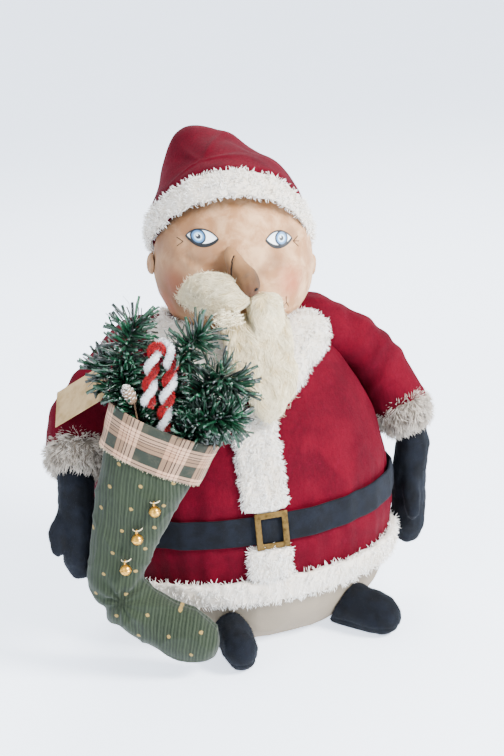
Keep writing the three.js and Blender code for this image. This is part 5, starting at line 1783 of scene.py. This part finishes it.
@dataclass
class Arm:
    """A stuffed sleeve with its fur cuff and mitten. Its points run from inside the shoulder to the wrist."""

    side: Side
    points: tuple[Point, ...]
    radius: float = 24.0
    deeper: float = 1.04
    swelling: tuple[float, ...] = (0.9, 1.04, 1.0, 1.0, 1.0, 0.98)
    seam_end: float = 26.0
    off_coat: float = 1.4

    def build(self) -> None:
        """Builds every piece of the arm."""
        self.sleeve()
        self.cuff()
        self.mitten()
        body = f"{self.side.value}_arm"
        smooth_node_copy(f"{body}_stuffing", WADDING, body, 4.0, lumps(12, 1.2))

    def size(self, t: float) -> Pair:
        """Half the sleeve's width and thickness, by the share of the way to the wrist."""
        wide = self.radius * spread(self.swelling, t) * round_ends(t, 0.08, 0.03)
        return wide, wide * self.deeper

    def sleeve(self) -> None:
        """The velvet sleeve, creased at the elbow, which rests against the coat."""
        name = self.side.value
        path = curve_through([at(*point) for point in self.points], 64)
        form = bmesh.new()
        add_tube(form, path, self.size, 56, Vector((0, 0, 1)))
        face_outwards(form)
        coat = BVHTree.FromBMesh(solid_copy("coat_body"))
        shoulder, wrist = path[8], path[-1]

        def shift(point: Vector, normal: Vector) -> float:
            """Rings of creases at the elbow and gathers at both ends."""
            near = min(range(len(path)), key=lambda k: (path[k] - point).length_squared)
            t = near / (len(path) - 1)
            bend = hill(t - 0.5, 0.22)
            ends = hill(t - 1.0, 0.12) + hill(t - 0.12, 0.1)
            along = (point - shoulder).dot((wrist - shoulder).normalized()) / MM
            rings = math.sin(along * 0.33 + 4.5 * noise.noise(point / (30 * MM)))
            away = point - path[near]
            gathers = math.sin(math.atan2(away.y, away.x + away.z) * 12)
            folds = 1.1 * rings * bend + 0.8 * gathers * ends + 1.4 * crease(point, self.side.sign * 5)
            return folds + lumps(26, 1.5)(point, normal)

        sculpt(form, shift)
        for vert in form.verts:
            spot, out, _, _ = coat.find_nearest(vert.co)
            inside = (vert.co - spot).dot(out) < self.off_coat * MM
            if inside and (vert.co - shoulder).length > self.seam_end * MM:
                vert.co = spot + out * self.off_coat * MM
        relax(form, 1)
        made = piece(f"{name}_velvet_sleeve", form, VELVET, None, [f"{name}_sleeve"], 1)
        ahead = (path[20] - shoulder).normalized()
        start, end = shoulder - ahead * 4 * MM, shoulder + ahead * 30 * MM
        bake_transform(made, "torso", f"{name}_arm", start=start, end=end)

    def cuff(self) -> None:
        """The fur cuff, longer than the rest, its white fur painted greyer as painted shade."""
        name = self.side.value
        form = soft_form([f"{name}_cuff"], 2.2, 2)
        sculpt(form, lumps(7, 1.6, 3.0))
        down = (at(*self.points[-1]) - at(*self.points[-2])).normalized()
        grow(form, CUFF_FLEECE, lambda _point, _normal: down * 0.8)
        piece(f"{name}_fur_cuff", form, SHADED_FUR, f"{name}_arm", [f"{name}_cuff"])

    def mitten(self) -> None:
        """The stuffed mitten, lumpy, with a fuzz of fibres."""
        name = self.side.value
        form = soft_form([f"{name}_mitten"], 1.8, 4)
        large, small = lumps(11, 1.2, 6.0), lumps(4, 0.4)
        sculpt(form, lambda point, normal: large(point, normal) + small(point, normal))
        grow(form, replace(CLOTH_FUZZ, seed=43), downward)
        made = piece(f"{name}_navy_mitten", form, NAVY, f"{name}_arm", [f"{name}_mitten"])


@dataclass
class Boot:
    """A soft navy boot."""

    side: Side
    sole: float = 9.0

    def build(self) -> None:
        """A stuffed boot with a seam round its sole."""
        name = self.side.value
        form = soft_form([f"{name}_boot"], 1.8, 4)

        def shift(point: Vector, normal: Vector) -> float:
            """A seam just above the sole, and soft lumps."""
            z = point.z / MM
            return -1.0 * hill(z - self.sole, 1.6) + lumps(13, 1.4, 8.0)(point, normal) * min(z / 8, 1.0)

        sculpt(form, shift)
        keep_above(form, 0.3 * MM)
        grow(form, replace(CLOTH_FUZZ, seed=47), downward, lambda point: point.z > 2.5 * MM)
        made = piece(f"{name}_navy_boot", form, NAVY, f"{name}_foot", [f"{name}_boot"])


@dataclass
class Stocking:
    """The striped stocking, its plaid band and the wad that fills its top."""

    top: Point = (18, 0, 216)
    leg: tuple[Pair, ...] = ((2, 184), (-13, 153), (-28, 116), (-36, 86), (-35, 64))
    foot: tuple[Pair, ...] = ((-40, 86), (-28, 69), (-8, 53), (18, 37), (40, 23))
    heel: Point = (-30, 0, 74)
    half_thick: float = 19.0
    leg_widths: tuple[float, ...] = (40, 37, 31, 24, 24)
    leg_fullness: tuple[float, ...] = (0.86, 1, 1, 0.92, 0.9)
    foot_half_tall: float = 22.0
    band_half_wide: float = 40.6
    band_tall: float = 36.0
    band_girth: float = 198.0
    cloth: float = 1.3

    def build(self) -> None:
        """Builds every piece of the stocking."""
        self.sock()
        self.band()
        smooth_node_copy("stocking_filling", WADDING, "stocking", 3.0, lumps(7, 1.0))

    def upward(self) -> Vector:
        """The way that the leg's top points, in the stocking's frame."""
        return (Vector(self.top) - Vector((self.leg[0][0], 0, self.leg[0][1]))).normalized()

    def sock(self) -> None:
        """The leg and foot in one skin, open at the top."""
        form = bmesh.new()
        up = self.upward()
        points = [Vector(self.top) + up * 4] + [Vector((x, 0, z)) for x, z in self.leg]
        path = curve_through([at(*point, SOCK_PLACE) for point in points], 40)

        def leg_size(t: float) -> Pair:
            """Half the width and thickness of the leg."""
            ends = round_ends(t, 0, 0.16)
            return spread(self.leg_widths, t) * ends, self.half_thick * spread(self.leg_fullness, t) * ends

        def foot_size(t: float) -> Pair:
            """Half the width and thickness of the foot."""
            ends = round_ends(t, 0.25, 0.28)
            return self.foot_half_tall * ends, self.half_thick * 0.96 * ends

        add_tube(form, path, leg_size, 48, aimed(SOCK_PLACE, 1, 0, 0))
        path = curve_through([at(x, 0, z, SOCK_PLACE) for x, z in self.foot], 32)
        add_tube(form, path, foot_size, 40, aimed(SOCK_PLACE, 0, 0, 1))
        face_outwards(form)
        form = remeshed(form, 1.8)
        relax(form, 8)
        bmesh.ops.bisect_plane(
            form,
            geom=form.verts[:] + form.edges[:] + form.faces[:],
            plane_co=at(*(Vector(self.top) - up * 3), SOCK_PLACE),
            plane_no=aimed(SOCK_PLACE, *up),
            clear_outer=True,
        )
        back = SOCK_PLACE.inverted()
        heel = Vector(self.heel)

        def shift(point: Vector, normal: Vector) -> float:
            """Pulls at the instep, a seam along the edge and soft dents."""
            local = back @ point / MM
            seam = -1.0 * hill(local.y, 1.3)
            away = (local - heel).length
            pulls = math.sin(math.atan2(local.z - heel.z, local.x - heel.x) * 9 + local.z * 0.05)
            ankle = 1.2 * pulls * hill(away - 16, 16)
            return seam + ankle + 1.2 * crease(point, 9) + lumps(20, 1.5, 7.0)(point, normal)

        sculpt(form, shift)
        keep_above(form, 1.0 * MM)
        made = piece("striped_sock", form, STRIPES, "stocking", ["stocking_sock"])
        give_thickness(made, self.cloth)

    def band(self) -> None:
        """The plaid band, folded down over the leg, with a frayed edge."""
        up = self.upward()
        top = Vector(self.top)
        rows, sides = 18, 96
        points = [top - up * (self.band_tall * k / (rows - 1)) for k in range(rows)]
        form = bmesh.new()
        layer = form.loops.layers.uv.new("UVMap")

        def size(t: float) -> Pair:
            """Half the width and thickness of the band, which flares to its top."""
            flare = 4.0 * (1 - t) + 0.5
            return self.band_half_wide + flare, self.half_thick + 0.6 + flare * 0.5

        path = [at(*point, SOCK_PLACE) for point in points]
        rings = add_tube(form, path, size, sides, aimed(SOCK_PLACE, 1, 0, 0), ends=False)
        index = {vert: (k, row) for row, ring in enumerate(rings) for k, vert in enumerate(ring)}
        for face in form.faces:
            places = [index[loop.vert] for loop in face.loops]
            wraps = max(k for k, _ in places) - min(k for k, _ in places) > 1
            for loop, (k, row) in zip(face.loops, places):
                turn = k + sides if wraps and k == 0 else k
                loop[layer].uv = (turn / sides * self.band_girth, row / (rows - 1) * self.band_tall)
        face_outwards(form)
        sculpt(form, lumps(17, 1.2, 9.0))
        lower = [vert.co.copy() for vert in rings[-1]]
        made = piece("plaid_band", form, PLAID, "stocking", ["stocking_band"])
        give_thickness(made, self.cloth, 0.6)
        self.frayed_edge(lower, aimed(SOCK_PLACE, *-up))

    def frayed_edge(self, edge: list[Vector], down: Vector) -> None:
        """Loose thread ends under the band.

        Args:
            edge: the points of its lower edge.
            down: the way that they hang.
        """
        rng = random.Random(53)
        form = bmesh.new()
        middle = sum(edge, Vector()) / len(edge)
        for k, point in enumerate(edge):
            for _ in range(2):
                start = point.lerp(edge[(k + 1) % len(edge)], rng.random())
                out = (start - middle).normalized()
                way = (down + out * rng.uniform(-0.1, 0.35) + random_way(rng) * 0.3).normalized()
                path = [start - down * MM, start, start + way * rng.uniform(0.8, 2.2) * MM]
                add_tube(form, path, even(0.16), 4)
        face_outwards(form)
        piece("plaid_fray", form, replace(THREAD, slot=PLAID.slot), "stocking")


@dataclass
class Bough:
    """Five twigs of plastic pine on twisted wire."""

    stems: tuple[tuple[Point, ...], ...] = (
        ((6, -3, 190), (-3, -3, 222), (-11, -2, 248), (-7, -2, 274), (2, -2, 294)),
        ((-2, 5, 190), (-5, 5, 222), (-12, 6, 240), (-27, 8, 260)),
        ((12, 6, 190), (18, 3, 224), (26, 0, 252), (38, -2, 272), (52, -4, 284)),
        ((22, 3, 190), (40, 0, 222), (56, -3, 246), (68, -5, 250), (75, -6, 240)),
        ((24, -4, 192), (42, -8, 212), (56, -11, 220), (70, -12, 218)),
    )
    bare: tuple[float, ...] = (0.2, 0.25, 0.2, 0.2, 0.2)
    needles: int = 340
    needle_long: float = 25.0
    needle_wide: float = 2.5
    needle_least: float = 6.0
    needle_gap: float = 2.5
    obstacles: tuple[str, ...] = (
        "head_skin", "right_moustache", "left_moustache", "beard", "coat_body", "coat_collar", "coat_placket",
        "right_sleeve", "right_cuff", "right_mitten", "stocking_band", "paper_tag", "cane_red_stem",
        "cane_white_stem", "belt",
    )

    def build(self) -> None:
        """Builds the twigs."""
        blocked = BVHTree.FromBMesh(solid_copy(*self.obstacles))
        for k, stem in enumerate(self.stems):
            form = bmesh.new()
            form.verts.layers.float.new("tip")
            form.verts.layers.float.new("shade")
            path = curve_through([at(*point, SOCK_PLACE) for point in stem], 40)
            self.wires(form, path)
            self.needle_rows(form, path, self.bare[k], 61 + k, blocked)
            node = f"pine_twig_{k + 1}"
            piece(f"{node}_film", form, NEEDLES, "stocking", [node])

    def wires(self, form: BMesh, path: list[Vector]) -> None:
        """Two wires twisted round each other."""
        for turn in (0.0, math.pi):
            points = []
            for i, place in enumerate(steady_frames(path)):
                angle = turn + i * 1.1
                points.append(place @ (around(angle) * 0.6 * MM))
            add_tube(form, points, even(0.55), 6)

    def needle_rows(
        self, form: BMesh, path: list[Vector], bare: float, seed: int, blocked: BVHTree
    ) -> None:
        """Needles all round a stem.

        Args:
            form: where they go.
            path: the stem's middle.
            bare: the share of the stem that has none.
            seed: starts the random draws.
            blocked: what they stop short of.
        """
        rng = random.Random(seed)
        frames = steady_frames(path)
        for i in range(self.needles):
            t = bare + (1 - bare) * (i + rng.random()) / self.needles
            place = frames[min(int(t * len(frames)), len(frames) - 1)]
            spin = i * GOLDEN_ANGLE + rng.uniform(-0.9, 0.9)
            lean = rng.uniform(-0.2, 0.9) + 0.6 * max(t - 0.85, 0) / 0.15
            way = place.to_3x3() @ Vector((math.cos(spin), math.sin(spin), lean)) + random_way(rng) * 0.55
            way.normalize()
            root = place.translation
            length = self.needle_long * rng.uniform(0.72, 1.0) * MM
            hit = blocked.ray_cast(root, way, length + 4 * MM)
            if hit[0]:
                length = min(length, hit[3] - self.needle_gap * MM)
            if length >= self.needle_least * MM:
                self.needle(form, root, way, length, rng)

    def needle(self, form: BMesh, root: Vector, way: Vector, length: float, rng: random.Random) -> None:
        """One flat strip of film, bent a little and cut square.

        Args:
            form: where it goes.
            root: where it leaves the wire.
            way: its direction.
            length: its length, in metres.
            rng: the random draws.
        """
        side = (way.cross(random_way(rng))).normalized()
        bend = way.cross(side) * rng.uniform(-0.12, 0.12) * length
        middle = root + way * length * 0.4 + bend * 0.6
        path = [root, middle, root + way * length * 0.75 + bend, root + way * length]
        half = self.needle_wide / 2 * rng.uniform(0.8, 1.1)
        before = len(form.verts)
        add_tube(form, path, lambda t: (half * (0.7 + 0.3 * min(t * 4, 1.0)), 0.14), 4, side)
        form.verts.ensure_lookup_table()
        shade, layer = rng.random() ** 1.3, form.verts.layers.float["shade"]
        for k in range(before, len(form.verts)):
            form.verts[k][layer] = shade


@dataclass
class CandyCane:
    """A red and a white chenille stem twisted together."""

    points: tuple[Point, ...] = (
        (15, -8, 192), (19, -10, 222), (29, -13, 262), (28, -13, 276),
        (22, -13, 281), (16, -13, 270), (8, -13, 234),
    )
    out: float = 2.9
    pitch: float = 27.0
    core: float = 1.6

    def build(self) -> None:
        """Builds both stems."""
        path = curve_through([at(*point, SOCK_PLACE) for point in self.points], 150)
        length = sum((b - a).length for a, b in zip(path, path[1:])) / MM
        frames = steady_frames(path)
        for name, finish, turn in (("red", RED_PILE, 0.0), ("white", WHITE_PILE, math.pi)):
            winding = []
            for i, place in enumerate(frames):
                angle = turn + i / (len(frames) - 1) * length / self.pitch * 2 * math.pi
                winding.append(place @ (around(angle) * self.out * MM))
            form = bmesh.new()
            add_tube(form, winding, even(self.core), 8)
            face_outwards(form)
            grow(form, CHENILLE, lambda _point, _normal: Vector())
            piece(f"{name}_chenille", form, finish, "stocking", [f"cane_{name}_stem"])


@dataclass
class PineCone:
    """A small frosted pine cone on a wire."""

    base: Point = (-3, -9, 235)
    axis: Point = (-0.2, -0.5, 0.84)
    tall: float = 20.0
    radius: float = 7.4
    rows: int = 8
    scales_round: int = 6
    wire: tuple[Point, ...] = ((0, -9, 194), (-2, -9, 216), (-3, -9, 237))

    def build(self) -> None:
        """Scales in a spiral round a core, and the wire."""
        form = bmesh.new()
        layer = form.verts.layers.float.new("tip")
        axis = aimed(SOCK_PLACE, *self.axis).normalized()
        base = at(*self.base, SOCK_PLACE)
        place = Matrix.Translation(base) @ Vector((0, 0, 1)).rotation_difference(axis).to_matrix().to_4x4()
        core = [place @ Vector((0, 0, self.tall * MM * k / 6)) for k in range(7)]
        add_tube(form, core, lambda t: (self.radius * 0.62 * round_ends(t, 0.25, 0.5),) * 2, 10)
        scales = self.rows * self.scales_round
        for i in range(scales):
            t = (i + 0.5) / scales
            wide = self.radius * math.sin(math.pi * min(0.14 + t * 0.78, 1.0)) ** 0.7
            tilt = math.radians(30 + 45 * t)
            turn = Matrix.Rotation(i * GOLDEN_ANGLE, 4, "Z")
            lift = Matrix.Translation((0, 0, self.tall * MM * (0.06 + 0.82 * t)))
            lean = Matrix.Rotation(-tilt, 4, "Y")
            size = Matrix.Diagonal((wide * 0.62 * MM, 2.3 * MM, 0.7 * MM, 1))
            whole = place @ lift @ turn @ lean @ Matrix.Translation((wide * 0.42 * MM, 0, 0)) @ size
            for vert in bmesh.ops.create_icosphere(form, subdivisions=2, radius=1, matrix=whole)["verts"]:
                vert[layer] = max(0.0, min(1.0, (whole.inverted() @ vert.co).x * 0.5 + 0.5))
        wire = curve_through([at(*point, SOCK_PLACE) for point in self.wire], 10)
        add_tube(form, wire, even(0.8), 8)
        face_outwards(form)
        piece("frosted_cone", form, CONE, "stocking", ["pine_cone"])


@dataclass
class Bells:
    """Three brass jingle bells, stitched down the instep."""

    bodies: tuple[str, ...] = ("top_bell", "middle_bell", "low_bell")
    radius: float = 5.0
    wall: float = 0.5
    slot: float = 1.1
    hole: float = 1.1
    rim: float = 0.4
    eye: float = 2.0

    def build(self) -> None:
        """Builds each bell and gives its pea and stitch their finishes."""
        for k, body in enumerate(self.bodies):
            node = f"bell_{k + 1}"
            low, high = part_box(node)
            centre = Vector(((low.x + high.x) / 2, (low.y + high.y) / 2, low.z + self.radius * MM))
            self.bell(f"{node}_brass", centre, body, node)
            dress_node(f"bell_pea_{k + 1}", STEEL)
            dress_node(f"bell_stitch_{k + 1}", THREAD)

    def bell(self, name: str, centre: Vector, body: str, node: str) -> None:
        """One bell: two pressed halves, a rim, a slot that ends in holes, and a wire eye.

        Args:
            name: the piece's name.
            centre: the middle of its ball.
            body: the body that it swings with.
            node: the CAD node that it replaces.
        """
        form = bmesh.new()
        place = Matrix.Translation(centre) @ SOCK_PLACE.to_3x3().to_4x4()
        bmesh.ops.create_uvsphere(form, u_segments=64, v_segments=40, radius=self.radius * MM)
        for sign in (-1, 1):
            everything = form.verts[:] + form.edges[:] + form.faces[:]
            edge = Vector((0, sign * self.slot / 2, 0)) * MM
            bmesh.ops.bisect_plane(form, geom=everything, plane_co=edge, plane_no=(0, 1, 0))
        gone = [face for face in form.faces if self.in_slot(face.calc_center_median() / MM)]
        bmesh.ops.delete(form, geom=gone, context="FACES")
        for vert in form.verts:
            rim = self.rim * hill(vert.co.z / MM, 0.45) - self.rim
            vert.co += vert.co.normalized() * rim * MM
        face_outwards(form)
        if sum(face.normal.dot(face.calc_center_median()) for face in form.faces) < 0:
            bmesh.ops.reverse_faces(form, faces=form.faces)
        bmesh.ops.solidify(form, geom=form.faces[:], thickness=self.wall * MM)
        eye = [
            Vector((0, math.cos(a) * self.eye, self.radius + 1.2 + math.sin(a) * self.eye)) * MM
            for a in (math.pi * (-0.5 + 2 * k / 20) for k in range(21))
        ]
        add_tube(form, eye, even(0.5), 8)
        bmesh.ops.transform(form, matrix=place, verts=form.verts)
        face_outwards(form)
        piece(name, form, BRASS, body, [node])

    def in_slot(self, spot: Vector) -> bool:
        """Whether a place on the ball lies in its slot or in the slot's round ends."""
        if spot.z > -0.35 * self.radius:
            return False
        out, down = self.radius * 0.86, -self.radius * 0.5
        ends = min((spot - Vector((end * out, 0, down))).length for end in (-1, 1))
        return abs(spot.y) < self.slot / 2 or ends < self.hole


def dress_tag() -> None:
    """The tag and its thread keep their solids and get their finishes."""
    dress_node("paper_tag", PAPER)
    dress_node("tag_thread", THREAD)


# Stage


@dataclass(frozen=True)
class Camera:
    """The photograph's camera, in degrees and metres."""

    azimuth: float = -10.0
    elevation: float = 16.0
    roll: float = 5.5
    lens: float = 85.0
    sensor: float = 36.0
    distance: float = 1.504
    target: Point = (0.0185, 0.0, 0.2055)

    def build(self) -> None:
        """Puts the camera in the scene."""
        turned = Matrix.Identity(4)
        for angle, axis in ((self.azimuth, "Z"), (90 - self.elevation, "X"), (-self.roll, "Z")):
            turned = turned @ Matrix.Rotation(math.radians(angle), 4, axis)
        data = bpy.data.cameras.new("photo_camera")
        data.lens = self.lens
        data.sensor_width = self.sensor
        data.sensor_fit = "AUTO"
        made = add_object("photo_camera", data)
        back = Matrix.Translation((0, 0, self.distance))
        made.matrix_world = Matrix.Translation(self.target) @ turned @ back
        bpy.context.scene.camera = made


@dataclass(frozen=True)
class Lamp:
    """A soft studio light, aimed at the doll, in metres and watts."""

    name: str
    place: Point
    power: float
    size: float
    target: Point = (0, 0, 0.2)

    def build(self) -> None:
        """Puts the light in the scene."""
        data = bpy.data.lights.new(self.name, "AREA")
        data.energy = self.power
        data.shape = "DISK"
        data.size = self.size
        made = add_object(self.name, data)
        aim = (Vector(self.target) - Vector(self.place)).to_track_quat("-Z", "Y")
        made.matrix_world = Matrix.Translation(self.place) @ aim.to_matrix().to_4x4()


@dataclass
class Studio:
    """The floor, the lights, the air around and the camera."""

    floor_radius: float = 60.0
    air: str = "e8f0fb"
    air_strength: float = 1.6
    lamps: tuple[Lamp, ...] = (
        Lamp("key", (1.3, -1.5, 1.5), 180, 0.8),
        Lamp("fill", (-1.5, -1.2, 1.1), 14, 1.4),
        Lamp("rear", (0.4, 1.5, 1.7), 44, 1.2),
    )

    def build(self) -> None:
        """Builds the stage."""
        Camera().build()
        for lamp in self.lamps:
            lamp.build()
        form = bmesh.new()
        bmesh.ops.create_circle(form, cap_ends=True, segments=96, radius=self.floor_radius)
        mesh = bpy.data.meshes.new("floor")
        form.to_mesh(mesh)
        form.free()
        mesh.materials.append(FLOOR.material())
        add_object("floor", mesh)
        world = bpy.data.worlds.new("studio_air")
        world.use_nodes = True
        air = world.node_tree.nodes["Background"]
        air.inputs["Color"].default_value = colour(self.air)
        air.inputs["Strength"].default_value = self.air_strength
        bpy.context.scene.world = world


def main() -> None:
    """Builds the whole doll, piece by piece."""
    logging.basicConfig(level=logging.INFO, format="%(message)s")
    arms = (Arm(Side.LEFT, LEFT_ARM), Arm(Side.RIGHT, RIGHT_ARM))
    boots = (Boot(Side.LEFT), Boot(Side.RIGHT))
    soft = (Torso(), Head(), Hat(), *arms, *boots, Stocking())
    makers = (Studio(), *soft, Bough(), CandyCane(), PineCone(), Bells())
    for maker in makers:
        LOG.info("building %s", type(maker).__name__)
        maker.build()
    dress_tag()


if __name__ == "__main__":
    main()
